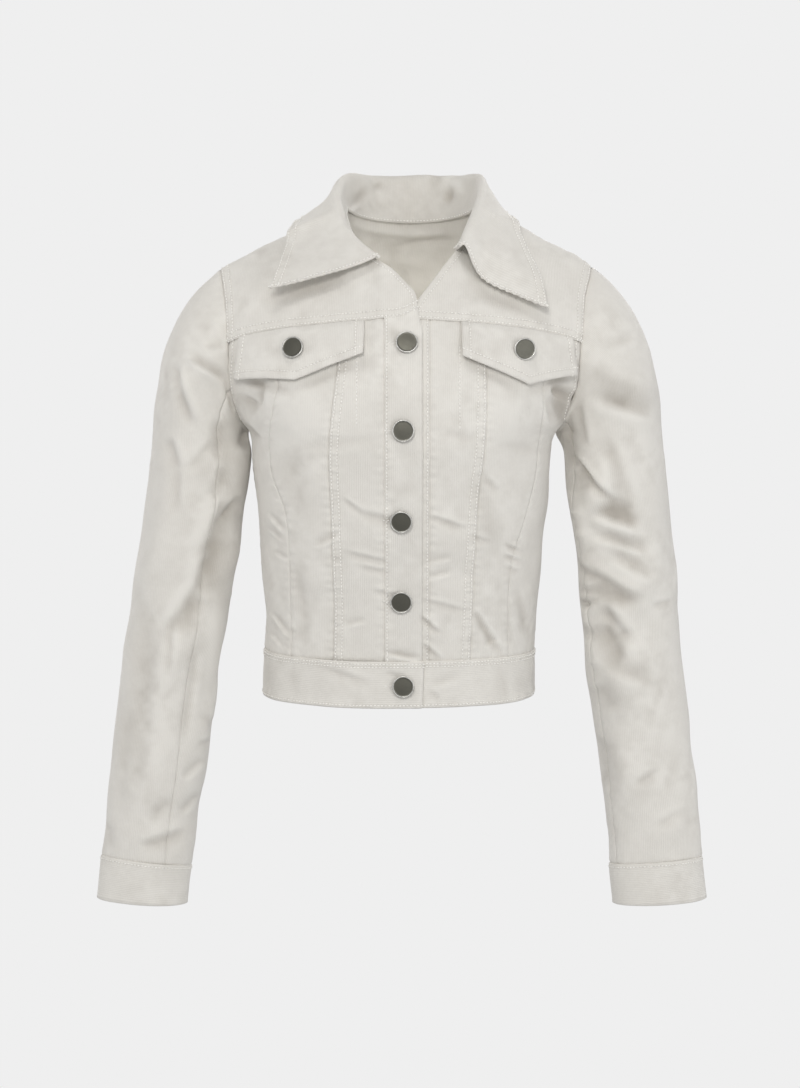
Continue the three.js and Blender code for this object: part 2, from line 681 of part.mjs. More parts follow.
// A section of a sleeve: its centre, its sideways and forward directions and its radii.
function sleeveSection(side, z) {
  const centreAt = (height) =>
    new THREE.Vector3(
      SIDES[side] * through(SLEEVE[side], "z", height, "out"),
      through(SLEEVE[side], "z", height, "y"),
      height,
    );
  const down = centreAt(z - 4).sub(centreAt(z + 4)).normalize();
  const outward = new THREE.Vector3(SIDES[side], 0, 0);
  outward.addScaledVector(down, -outward.dot(down)).normalize();
  const forward = new THREE.Vector3(0, -1, 0);
  forward.addScaledVector(down, -forward.dot(down)).normalize();
  return {
    centre: centreAt(z),
    down,
    outward,
    forward,
    halfWidth: through(SLEEVE[side], "z", z, "halfWidth"),
    halfDepth: through(SLEEVE[side], "z", z, "halfDepth"),
  };
}

// A place on a sleeve's section, at an angle round it.
function ringPoint(side, angle, z) {
  const section = sleeveSection(side, z);
  return section.centre
    .clone()
    .addScaledVector(section.outward, section.halfWidth * Math.cos(radians(angle)))
    .addScaledVector(section.forward, section.halfDepth * Math.sin(radians(angle)));
}

// The place on the armhole that an angle round the sleeve is sewn to.
function armholePoint(side, angle) {
  const turned = ((angle % 360) + 360) % 360;
  const front = turned <= 180;
  const share = front ? turned / 180 : (360 - turned) / 180;
  return bodyPoint(...armhole(side, front ? 1 : -1, share));
}

// A place in the sleeve head, between the armhole and the first full section.
function headPoint(side, angle, share) {
  const under = (1 - Math.cos(radians(angle))) / 2;
  const from = armholePoint(side, angle);
  from.x += SIDES[side] * mix(0.4, UNDERARM_GAP, under ** 2);
  const firstZ = SLEEVE[side][0].z;
  const to = ringPoint(side, angle, firstZ);
  const wave = Math.cos(radians(angle));
  const bulge = Math.sin(radians(angle)) ** 2;
  const leave = new THREE.Vector3(
    SIDES[side] * (0.5 + 0.32 * wave + 0.35 * bulge),
    -0.35 * Math.sin(radians(angle)),
    -(0.79 - 0.19 * wave - 0.4 * bulge),
  ).normalize();
  const length = from.distanceTo(to);
  const { down } = sleeveSection(side, firstZ);
  const handles = [
    from.clone().addScaledVector(leave, 0.37 * length),
    to.clone().addScaledVector(down, -0.4 * length),
  ];
  return new THREE.CubicBezierCurve3(from, ...handles, to).getPoint(share);
}

// A place on a sleeve: share 0 at the armhole, HEAD_SHARE at the first full section, 1 at the cuff.
function sleevePoint(side, angle, share) {
  if (share < HEAD_SHARE) {
    const start = HEAD_START * (1 + Math.cos(radians(angle)) ** 2);
    return headPoint(side, angle, mix(start, 1, share / HEAD_SHARE));
  }
  const down = (share - HEAD_SHARE) / (1 - HEAD_SHARE);
  return ringPoint(side, angle, mix(SLEEVE[side][0].z, CUFF_TOP_Z + SEAM_GAP / 2, down));
}

// The outward direction of a sleeve's surface, from the steps round it and along it.
function sleeveNormal(side, angle, share) {
  const low = Math.max(share - 0.012, 0);
  const high = Math.min(share + 0.012, 1);
  const along = sleevePoint(side, angle, high).sub(sleevePoint(side, angle, low));
  const round = sleevePoint(side, angle + 1.5, share).sub(sleevePoint(side, angle - 1.5, share));
  return round.cross(along).multiplyScalar(-SIDES[side]).normalize();
}

// Draws both ends of a line of places in by a gap.
function drawIn(line, gap) {
  const last = line.length - 1;
  const start = line[0].distanceTo(line[1]);
  const end = line[last].distanceTo(line[last - 1]);
  line[0].lerp(line[1], Math.min(0.4, gap / start));
  line[last].lerp(line[last - 1], Math.min(0.4, gap / end));
}

// A piece of a sleeve between two of its seams, with its folds sunk into the wall.
function sleevePiece(side, fromAngle, toAngle, [rows, columns]) {
  const points = [];
  const normals = [];
  for (let i = 0; i <= rows; i += 1) {
    const share = i / rows;
    const near = smooth(i / 3) * smooth((rows - i) / 2);
    const angles = Array.from({ length: columns + 1 }, (_, j) => mix(fromAngle, toAngle, j / columns));
    normals.push(angles.map((angle) => sleeveNormal(side, angle, share)));
    points.push(
      angles.map((angle, j) => {
        const place = sleevePoint(side, angle, share);
        const around = radians(angle) * SLEEVE_RADIUS;
        const sunk = near * foldDepth(SLEEVE_FOLDS[side], around, place.z, SLEEVE_RADIUS);
        return place.addScaledVector(normals[i][j], -sunk);
      }),
    );
    drawIn(points[i], SEAM_GAP / 2);
  }
  return wall(points, normals, CLOTH);
}

function cuff(side) {
  const [rows, columns] = GRID.cuff;
  const points = [];
  const normals = [];
  for (let i = 0; i <= rows; i += 1) {
    const z = mix(CUFF_TOP_Z - SEAM_GAP / 2, CUFF_HEM_Z, i / rows);
    const section = sleeveSection(side, z);
    const angles = Array.from({ length: columns }, (_, j) => (j / columns) * 360);
    const direction = (angle) =>
      section.outward
        .clone()
        .multiplyScalar(Math.cos(radians(angle)) / section.halfWidth)
        .addScaledVector(section.forward, Math.sin(radians(angle)) / section.halfDepth)
        .normalize();
    normals.push(angles.map(direction));
    points.push(angles.map((angle, j) => ringPoint(side, angle, z).addScaledVector(normals[i][j], 0.5)));
  }
  return wall(points, normals, DOUBLE, true);
}

// The neckline from the centre back (share 0) to the front end of the collar (share 1), with the
// outward direction of the cloth there.
function neckline(side, share) {
  const backShare = 0.5;
  if (share <= backShare) {
    const [neckTurn, neckZ] = shoulderLine(side, -1)(0);
    const turn = mix(SIDES[side] * 180, neckTurn, share / backShare);
    const z = neckZ - BACK_NECK_DIP * Math.cos(((share / backShare) * Math.PI) / 2) ** 0.6;
    return { seam: bodyPoint(turn, z), normal: bodyNormal(turn, z) };
  }
  const t = mix(1, COLLAR_STARTS[side], (share - backShare) / (1 - backShare));
  const [turn, z] = neckLine(side)(t);
  return { seam: clothPoint(turn, z, side === "right" ? overlapLift(turn, z) : 0), normal: bodyNormal(turn, z) };
}

// How far a place must move out to stay clear of the shoulders and yokes under the collar.
function clearOfBody(point, clearance) {
  const moved = point.clone();
  for (let i = 0; i < 4; i += 1) {
    const middle = through(BODY, "z", clamp(moved.z, -460, 20), "middle");
    const out = moved.x - middle;
    const crest = shoulderZ(out);
    const turn = turnAt(moved.x, Math.min(moved.z, crest - 0.5));
    const facing = moved.y < 0 ? turn : Math.sign(out || 1) * 180 - turn;
    const surface = bodyPoint(facing, Math.min(moved.z, crest - 0.5));
    const normal = bodyNormal(facing, Math.min(moved.z, crest - 0.5));
    const height = moved.clone().sub(surface).dot(normal);
    if (height >= clearance) return moved;
    moved.addScaledVector(normal, clearance - height);
  }
  return moved;
}

// The collar's section at a share of the way from the centre back to a front end.
function collarSection(side, share, columns) {
  const value = (column) => through(COLLAR[side], "along", share, column);
  const roll = new THREE.Vector3(value("rollX"), value("rollY"), value("rollZ"));
  const edge = new THREE.Vector3(value("edgeX"), value("edgeY"), value("edgeZ"));
  const reach = value("reach");
  const { seam, normal } = neckline(side, share);
  const outward = edge.clone().sub(roll).setZ(0).normalize();
  const atFront = smooth((share - 0.42) / 0.3);
  const up = roll.clone().sub(seam).normalize().lerp(normal, atFront).normalize();
  const first = seam.clone().addScaledVector(up, mix(2.6, 3, atFront));
  first.addScaledVector(outward, mix(-2.2, -0.8, atFront));
  const shoulder = roll.clone().addScaledVector(outward, reach * 0.75).add(new THREE.Vector3(0, 0, -reach * 0.5));
  const inside = roll.clone().addScaledVector(outward, -reach * 0.75).add(new THREE.Vector3(0, 0, -reach * 0.5));
  const fall = shoulder.clone().lerp(edge, 0.18).add(new THREE.Vector3(0, 0, -value("sag")));
  const hang = shoulder.clone().lerp(edge, 0.6).add(new THREE.Vector3(0, 0, -0.6 * value("sag")));
  const stand = first.clone().lerp(inside, 0.5);
  const line = new THREE.CatmullRomCurve3([first, stand, inside, roll, shoulder, fall, hang, edge]);
  const points = [];
  for (let j = 0; j <= columns; j += 1) {
    const t = j / columns;
    const p = line.getPoint(t);
    points.push(t > 0.6 ? clearOfBody(p, COLLAR_CLEAR + CREST_CLEAR * (1 - smooth(Math.abs(p.y) / 25))) : p);
  }
  return points;
}

function collar() {
  const [rows, columns] = GRID.collar;
  const points = [];
  for (let i = 0; i <= rows; i += 1) {
    const place = (2 * i) / rows - 1;
    points.push(collarSection(place < 0 ? "right" : "left", Math.abs(place), columns));
  }
  return wall(points, gridNormals(points, false, 1), DOUBLE);
}

// A pocket flap hung from the yoke seam, its lower edge standing off the front.
function pocketFlap(side) {
  const { inner, point, outer, innerDeep, pointDeep, outerDeep, stand } = FLAP[side];
  const deepAt = (out) =>
    out < point
      ? mix(innerDeep, pointDeep, (out - inner) / (point - inner))
      : mix(pointDeep, outerDeep, (out - point) / (outer - point));
  const pointShare = (point - inner) / (outer - inner);
  const outAt = (s) => {
    const half = 0.5;
    return s < half ? mix(inner, point, s / half) : mix(point, outer, (s - half) / half);
  };
  const place = (s, t) => {
    const out = outAt(s);
    const topTurn = seamTurn([{ z: -200, out }, { z: 0, out }], side, YOKE_MIDDLE_Z - 10);
    const z = yokeZ(topTurn) - 1 - deepAt(out) * (1 - t);
    return [seamTurn([{ z: -200, out }, { z: 0, out }], side, z), z];
  };
  const lines = {
    start: (t) => place(0, t),
    end: (t) => place(1, t),
    low: (s) => place(s, 0),
    high: (s) => place(s, 1),
  };
  const lie = CLOTH / 2 + LAY_GAP + DOUBLE / 2;
  const lift = (turn, z, t, s) => lie + stand * (1 - t) ** 1.3 * (0.5 + Math.abs(s - pointShare));
  return torsoPanel(lines, GRID.flap, { thickness: DOUBLE, lift });
}

// A button, seated on a place of the cloth and facing out along its normal.
function button(place, normal) {
  const { radius, rim, rise, shankRadius, shankHeight, sides } = BUTTON;
  const profile = [
    [0, 0],
    [shankRadius, 0],
    [shankRadius, shankHeight],
    [radius - rim, shankHeight],
    [radius, shankHeight + 0.6],
    [radius, shankHeight + rise],
    [radius - 0.5, shankHeight + rise + 0.45],
    [radius - rim, shankHeight + rise + 0.35],
    [radius - rim - 0.6, shankHeight + rise - 0.1],
    [0, shankHeight + rise + 0.15],
  ];
  const geometry = new THREE.LatheGeometry(
    profile.map(([r, h]) => new THREE.Vector2(r, h)),
    sides,
  );
  const turn = new THREE.Quaternion().setFromUnitVectors(new THREE.Vector3(0, 1, 0), normal);
  geometry.applyQuaternion(turn);
  geometry.translate(...place.toArray());
  return geometry;
}

const corduroy = new THREE.MeshStandardMaterial({ color: 0xdcd6ca, roughness: 0.95, metalness: 0 });
const metal = new THREE.MeshStandardMaterial({ color: 0x6b6a64, roughness: 0.35, metalness: 0.9 });
const jacket = new THREE.Group();

function addPiece(name, geometry, material = corduroy) {
  const mesh = new THREE.Mesh(geometry, material.clone());
  mesh.name = name;
  jacket.add(mesh);
}

for (const side of Object.keys(SIDES)) {
  const panelSeam = seamLine(PANEL_SEAM[side], side);
  const sideFrontSeam = seamLine(SIDE_FRONT_SEAM[side], side);
  const innerX = side === "right" ? -BAND_STITCH : BUTTON_BAND_REACH;
  const centreLine = uprightLine(innerX, yokeZ(turnAt(innerX, YOKE_MIDDLE_Z)));
  const share = yokeArmholeShare(side);
  const outer = sideLine(side, 1, share);
  addPiece(`${side}_yoke`, yoke(side));
  addPiece(`${side}_front_centre`, frontPanel(centreLine, panelSeam, GRID.centre));
  addPiece(`${side}_front_middle`, frontPanel(panelSeam, sideFrontSeam, GRID.middle));
  addPiece(`${side}_front_side`, frontPanel(sideFrontSeam, outer, GRID.side));
  addPiece(`${side}_pocket_flap`, pocketFlap(side));
  const { front, back } = SLEEVE_SEAMS[side];
  addPiece(`${side}_upper_sleeve`, sleevePiece(side, back - 360, front, GRID.upperSleeve));
  addPiece(`${side}_under_sleeve`, sleevePiece(side, front, back, GRID.underSleeve));
  addPiece(`${side}_cuff`, cuff(side));
  const { out, down } = FLAP_BUTTONS[side];
  const turn = seamTurn([{ z: -200, out }, { z: 0, out }], side, YOKE_MIDDLE_Z - down);
  const z = yokeZ(turn) - down;
  const lie = CLOTH / 2 + LAY_GAP + DOUBLE + 0.35;
  const flapLift = lie + FLAP[side].stand * (down / FLAP[side].pointDeep) ** 1.3 * 0.5;
  addPiece(`${side}_flap_button`, button(clothPoint(turn, z, flapLift), bodyNormal(turn, z)), metal);
}

const bandTop = yokeZ(0);
const innerStitch = uprightLine(-BAND_STITCH - 3, bandTop);
const underBand = [uprightLine(-BAND_STITCH, bandTop), uprightLine(BUTTON_BAND_REACH, bandTop)];
const overBand = { thickness: DOUBLE, lift: overlapLift, height: liftedYokeZ };
addPiece("button_band", frontPanel(...underBand, GRID.strip));
addPiece("buttonhole_band", frontPanel(innerStitch, overlapEdge(), GRID.strip, overBand));
addPiece("back", backPanel());
addPiece("waistband", waistband());
addPiece("collar", collar());

for (const { name, x, z } of BUTTON_ROW) {
  const turn = turnAt(x, z);
  const lift = PLACKET_LIFT + DOUBLE / 2 + 0.35 + (z < BAND_TOP_Z ? 1.3 : 0);
  addPiece(name, button(clothPoint(turn, z, lift), bodyNormal(turn, z)), metal);
}

export default jacket;
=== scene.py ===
"""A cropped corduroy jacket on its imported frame: cloth panels, seams, stitches, buttons, light and camera.

Sizes are in millimetres in the tables and become metres where a mesh is made. The front faces -Y, +Z is
up, and left and right are the wearer's, so the right side of the garment lies at -X.
"""

import logging
import math
from dataclasses import dataclass, field
from enum import Enum
from typing import Callable, Iterable, Sequence

import bmesh
import bpy
import numpy as np
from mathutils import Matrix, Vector

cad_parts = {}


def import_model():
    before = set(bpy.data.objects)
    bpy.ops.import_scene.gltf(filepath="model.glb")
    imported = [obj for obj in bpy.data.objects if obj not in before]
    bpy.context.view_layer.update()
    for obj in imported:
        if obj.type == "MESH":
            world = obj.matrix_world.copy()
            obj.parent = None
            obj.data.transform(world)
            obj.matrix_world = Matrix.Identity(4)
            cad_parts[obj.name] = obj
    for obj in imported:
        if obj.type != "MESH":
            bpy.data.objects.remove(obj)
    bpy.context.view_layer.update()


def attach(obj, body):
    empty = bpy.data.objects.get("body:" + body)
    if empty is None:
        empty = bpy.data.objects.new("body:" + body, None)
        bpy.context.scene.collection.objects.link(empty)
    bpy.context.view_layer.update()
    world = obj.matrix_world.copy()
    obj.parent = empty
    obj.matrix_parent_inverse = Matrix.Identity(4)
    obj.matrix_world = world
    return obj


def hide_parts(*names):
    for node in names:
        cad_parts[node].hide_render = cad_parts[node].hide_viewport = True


Array = np.ndarray
SeamLine = Callable[[Array], Array]
Sockets = dict[str | int, object]
Colour = tuple[float, float, float]
Groups = dict[str, bpy.types.NodeTree]

LOG = logging.getLogger("jacket")
MILLIMETRE = 0.001

PHOTO_MIDDLE = (400.0, 544.0)
FOCAL_PIXELS = 2340.43
EYE = (-2.82, -2189.87, -100.28)
CAMERA_TILT = math.radians(5.5)

CLOTH = 1.6
DOUBLE = 2.6
SEAM_GAP = 0.12
LAY_GAP = 0.6
PLACKET_LIFT = CLOTH / 2 + LAY_GAP + DOUBLE / 2
WAISTBAND_LIFT = 1.3
CREASE_COLUMNS = "place z slant length width depth"
ONCE_ROUND = 360.0
GROOVE_WIDTH = 0.0009
GROOVE_DEPTH = 0.0002


class Side(Enum):
    """The wearer's sides, with the sign of X on each."""

    RIGHT = -1
    LEFT = 1

    @property
    def word(self) -> str:
        """The side's name as it stands in the names of nodes."""
        return self.name.lower()


class Edge(Enum):
    """The four edges of a panel's grid."""

    LOW = "low"
    HIGH = "high"
    START = "start"
    END = "end"


def mix(a: Array, b: Array, t: Array) -> Array:
    """The value a share t of the way from a to b."""
    return a + (b - a) * t


def smooth(t: Array) -> Array:
    """An even rise from 0 to 1."""
    t = np.clip(t, 0.0, 1.0)
    return t * t * (3 - 2 * t)


def signed_power(value: Array, power: float) -> Array:
    """A power that keeps the sign of its base."""
    return np.sign(value) * np.abs(value) ** power


def unit(v: Array) -> Array:
    """Vectors scaled to a length of one."""
    return v / np.maximum(np.linalg.norm(v, axis=-1, keepdims=True), 1e-12)


def dot(a: Array, b: Array) -> Array:
    """Products of vectors, kept as a last axis of one."""
    return np.sum(a * b, axis=-1, keepdims=True)


def places(*parts: Array) -> Array:
    """Coordinates of any matching shapes, joined along a new last axis."""
    return np.stack(np.broadcast_arrays(*[np.asarray(p, float) for p in parts]), axis=-1)


class Table:
    """Rows of sizes, read on a smooth curve through them."""

    def __init__(self, columns: str, rows: Sequence[Sequence[float]]) -> None:
        """Keeps the rows in rising order of the first column.

        Args:
            columns: names of the columns, the key first.
            rows: one line of numbers for each row.
        """
        data = np.array(rows, float)
        if data[0, 0] > data[-1, 0]:
            data = data[::-1]
        self.keys = data[:, 0]
        self.values = dict(zip(columns.split(), data.T))

    def at(self, key: Array, column: str) -> Array:
        """The value of a column at a key.

        Args:
            key: places along the first column.
            column: the column that is read.

        Returns:
            The values, in the shape of the key.
        """
        keys, values = self.keys, self.values[column]
        ahead = np.minimum(np.arange(len(keys)) + 1, len(keys) - 1)
        behind = np.maximum(np.arange(len(keys)) - 1, 0)
        slopes = (values[ahead] - values[behind]) / (keys[ahead] - keys[behind])
        key = np.asarray(key, float)
        i = np.clip(np.searchsorted(keys, key, side="right") - 1, 0, len(keys) - 2)
        span = keys[i + 1] - keys[i]
        t = np.clip((key - keys[i]) / span, 0, 1)
        low = 2 * t**3 - 3 * t**2 + 1
        tangents = (t**3 - 2 * t**2 + t) * slopes[i] + (t**3 - t**2) * slopes[i + 1]
        return low * values[i] + (1 - low) * values[i + 1] + span * tangents


@dataclass
class Creases:
    """Folds pressed into the cloth, each a valley, some with a ridge beside it.

    The place of a crease is an angle round a form in degrees, or x in millimetres where it is seen from the
    front. The even share of its length keeps its full depth. Beside a ridge the valley is steeper on the
    ridge's side.
    """

    columns: str
    rows: Sequence[Sequence[float]]
    strength: float = 1.0
    even: float = 0.0
    steeper: float = 1.3
    flatter: float = 0.8
    ridge_place: float = 1.5
    ridge_width: float = 1.2

    def depth(self, across: Array, z: Array, radius: float = 0.0) -> Array:
        """How far the cloth sinks at each place.

        Args:
            across: sideways places, in millimetres, round the form if radius is set.
            z: heights.
            radius: the radius that turns a place in degrees into millimetres, or 0 for plain places.

        Returns:
            Depths in millimetres, negative where the cloth stands out.
        """
        total = np.zeros(np.broadcast(across, z).shape)
        for row in self.rows:
            crease = dict(zip(self.columns.split(), row))
            if radius:
                turn = np.mod(across / radius - math.radians(crease["place"]) + 3 * math.pi, 2 * math.pi)
                dx = (turn - math.pi) * radius
            else:
                dx = across - crease["place"]
            dz = z - crease["z"]
            lean = math.radians(crease["slant"])
            along = (dx * math.sin(lean) + dz * math.cos(lean)) / (crease["length"] / 2)
            offset = dx * math.cos(lean) - dz * math.sin(lean) - crease.get("bend", 0.0) * (along**2 - 0.3)
            ridge = crease.get("ridge", 0.0)
            u = offset / crease["width"]
            if ridge:
                u = u * np.where(u * ridge > 0, self.steeper, self.flatter)
            profile = np.exp(-u * u)
            if ridge:
                from_ridge = u - math.copysign(self.ridge_place, ridge)
                profile = profile - abs(ridge) * np.exp(-(from_ridge**2) / self.ridge_width)
            fade = 1 - smooth((np.abs(along) - self.even) / (1 - self.even))
            total += crease["depth"] * profile * fade
        return total * self.strength


def on_photo(x: float, y: float, plane: float) -> tuple[float, float]:
    """A place seen in the photograph, as x and z on an upright plane.

    Args:
        x: pixels from the photograph's left edge.
        y: pixels from its top edge.
        plane: the plane's place from front to back, in millimetres.

    Returns:
        The place in millimetres.
    """
    right, up = (x - PHOTO_MIDDLE[0]) / FOCAL_PIXELS, (PHOTO_MIDDLE[1] - y) / FOCAL_PIXELS
    forward = math.cos(CAMERA_TILT) + up * math.sin(CAMERA_TILT)
    rise = up * math.cos(CAMERA_TILT) - math.sin(CAMERA_TILT)
    reach = (plane - EYE[1]) / forward
    return EYE[0] + reach * right, EYE[2] + reach * rise


def seen_creases(rows: Sequence[Sequence[float]], strength: float, even: float, stretch: float) -> Creases:
    """Creases from their two ends, read off the photograph.

    Args:
        rows: for each, the pixels x and y of one end and of the other, its plane, width and depth in
            millimetres, and where a ridge lies beside it, the ridge's share and direction in degrees.
        strength: a factor on every depth.
        even: the share of each length that keeps its full depth.
        stretch: how much longer a crease runs out than it is seen.

    Returns:
        The creases in millimetres.
    """
    made = []
    for x1, y1, x2, y2, plane, width, depth, *beside in rows:
        ends = sorted((on_photo(x1, y1, plane), on_photo(x2, y2, plane)), key=lambda end: end[1])
        dx, dz = ends[1][0] - ends[0][0], ends[1][1] - ends[0][1]
        lean = math.atan2(dx, dz)
        ridge, side = beside or (0.0, 0.0)
        ridge = math.copysign(ridge, math.cos(math.radians(side) + lean))
        centre = ((ends[0][0] + ends[1][0]) / 2, (ends[0][1] + ends[1][1]) / 2)
        made.append((*centre, math.degrees(lean), math.hypot(dx, dz) * stretch, width, depth, 0.0, ridge))
    return Creases(CREASE_COLUMNS + " bend ridge", made, strength, even)


@dataclass
class Unevenness:
    """Low, broad waves that no cloth is without, the same on each run."""

    seed: int = 7
    waves: int = 26
    height: float = 0.34
    shortest: float = 26.0
    longest: float = 95.0

    def __post_init__(self) -> None:
        """Draws the waves' directions and lengths from the seed."""
        rng = np.random.default_rng(self.seed)
        length = rng.uniform(self.shortest, self.longest, self.waves)
        self.directions = unit(rng.normal(size=(self.waves, 3))) * (2 * math.pi / length)[:, None]
        self.phases = rng.uniform(0, 2 * math.pi, self.waves)
        self.heights = self.height * np.sqrt(length / self.longest)

    def at(self, points: Array) -> Array:
        """The height of the waves at each place."""
        return np.sum(np.sin(points @ self.directions.T + self.phases) * self.heights, axis=-1) / 2


class Form:
    """The filled shape of the body that the jacket was cut for."""

    ROUNDNESS = 2.3
    SHOULDER_FALL = 160.0
    SHOULDER_POWER = 1.8
    RADIUS = 120.0
    CREST_BLEND = 9.0
    GIRTH_STEPS = 12

    body = Table(
        "z middle half_width front back",
        [
            (-460, -4.5, 126.5, 93, 80),
            (-408, -2.5, 126, 93, 78),
            (-350, -1.5, 128.5, 100, 82),
            (-280, -0.8, 134.5, 112, 92),
            (-218, -1, 139.5, 121, 103),
            (-205, -0.6, 143, 122, 104),
            (-192, -0.2, 152, 122, 106),
            (-160, 0.5, 166, 119, 108),
            (-110, 1.5, 181, 105, 104),
            (-60, 2, 192, 84, 93),
            (-20, 6, 199, 67, 79),
            (20, 9, 205, 57, 72),
        ],
    )
    shoulder = Table(
        "out right left",
        [
            (0, 50, 50),
            (40, 22, 22),
            (62, 1, 1),
            (102, -17, -14.5),
            (125, -29.5, -26),
            (144, -39.6, -35.5),
            (160, -48, -44),
            (172, -55.5, -53.5),
            (205, -78, -76),
        ],
    )
    folds = Creases(
        CREASE_COLUMNS,
        [
            (-58, -172, 35, 60, 14.9, 6),
            (60, -170, -35, 62, 14.9, 6),
            (-30, -352, 82, 70, 12.2, 1.8),
            (27, -330, -80, 74, 12.2, 1.8),
            (36, -386, -40, 60, 12.2, 2.2),
            (-62, -300, 78, 52, 10.8, 2.2),
            (64, -318, -78, 56, 10.8, 2.2),
            (-128, -330, 80, 90, 13.5, 3),
            (132, -342, -80, 90, 13.5, 3),
            (168, -372, 88, 120, 13.5, 2.6),
            (176, -60, 88, 120, 14.9, 3.2),
        ],
    )

    def middle(self, z: Array) -> Array:
        """The sideways place of each section."""
        return self.body.at(z, "middle")

    def shoulder_z(self, out: Array) -> Array:
        """The height of the shoulder line at a signed distance from the middle."""
        out = np.asarray(out, float)
        far = np.abs(out)
        return np.where(out < 0, self.shoulder.at(far, "right"), self.shoulder.at(far, "left"))

    def share(self, out: Array, z: Array) -> Array:
        """How much of its full depth the body has below the shoulder line."""
        fall = np.clip((self.shoulder_z(out) - z) / self.SHOULDER_FALL, 0, 1)
        return (1 - (1 - fall) ** self.SHOULDER_POWER) ** (1 / self.SHOULDER_POWER)

    def turn_at(self, x: Array, z: Array) -> Array:
        """The angle round the torso, 0 at the centre front, of a place on the front half."""
        share = (x - self.middle(z)) / self.body.at(z, "half_width")
        return np.degrees(np.arcsin(np.clip(signed_power(share, self.ROUNDNESS / 2), -1, 1)))

    def point(self, turn: Array, z: Array) -> Array:
        """A place on the torso from the angle round it and the height, without its folds."""
        angle = np.radians(turn)
        out = self.body.at(z, "half_width") * signed_power(np.sin(angle), 2 / self.ROUNDNESS)
        forward = signed_power(np.cos(angle), 2 / self.ROUNDNESS)
        depth = np.where(forward > 0, self.body.at(z, "front"), self.body.at(z, "back"))
        return places(self.middle(z) + out, -depth * forward * self.share(out, z), z)

    def normal(self, turn: Array, z: Array) -> Array:
        """The outward direction of the torso at a place."""
        step = 0.5
        out = self.point(turn, z)[..., 0] - self.middle(z)
        below = self.shoulder_z(out) - z
        slope = (self.shoulder_z(out + step) - self.shoulder_z(out - step)) / (2 * step)
        crest = unit(places(-slope, 0, 1))
        low = np.minimum(z, z + below - 3 * step)
        across = self.point(turn + step, low) - self.point(turn - step, low)
        up = self.point(turn, low + step) - self.point(turn, low - step)
        return unit(mix(unit(np.cross(across, up)), crest, (1 - smooth(below / self.CREST_BLEND))[..., None]))

    def girth(self, turn: Array, z: Array, base: Array) -> Array:
        """The length of cloth round the torso from a base angle to another, at one height.

        Args:
            turn: the angles that are reached.
            z: the heights.
            base: the angles that the length is counted from.

        Returns:
            Signed lengths in millimetres.
        """
        turn, z, base = np.broadcast_arrays(turn, z, base)
        total = np.zeros(turn.shape)
        before = self.point(base, z)
        for i in range(1, self.GIRTH_STEPS + 1):
            here = self.point(mix(base, turn, i / self.GIRTH_STEPS), z)
            total += np.linalg.norm(here - before, axis=-1)
            before = here
        return total * np.sign(turn - base)

    def sunk(self, turn: Array, z: Array) -> Array:
        """How far the cloth sinks into the form's own folds."""
        return self.folds.depth(np.radians(turn) * self.RADIUS, z, self.RADIUS)


FORM = Form()
WAVES = Unevenness()
CRUMPLE = Unevenness(seed=11, waves=64, height=0.05, shortest=7.0, longest=28.0)

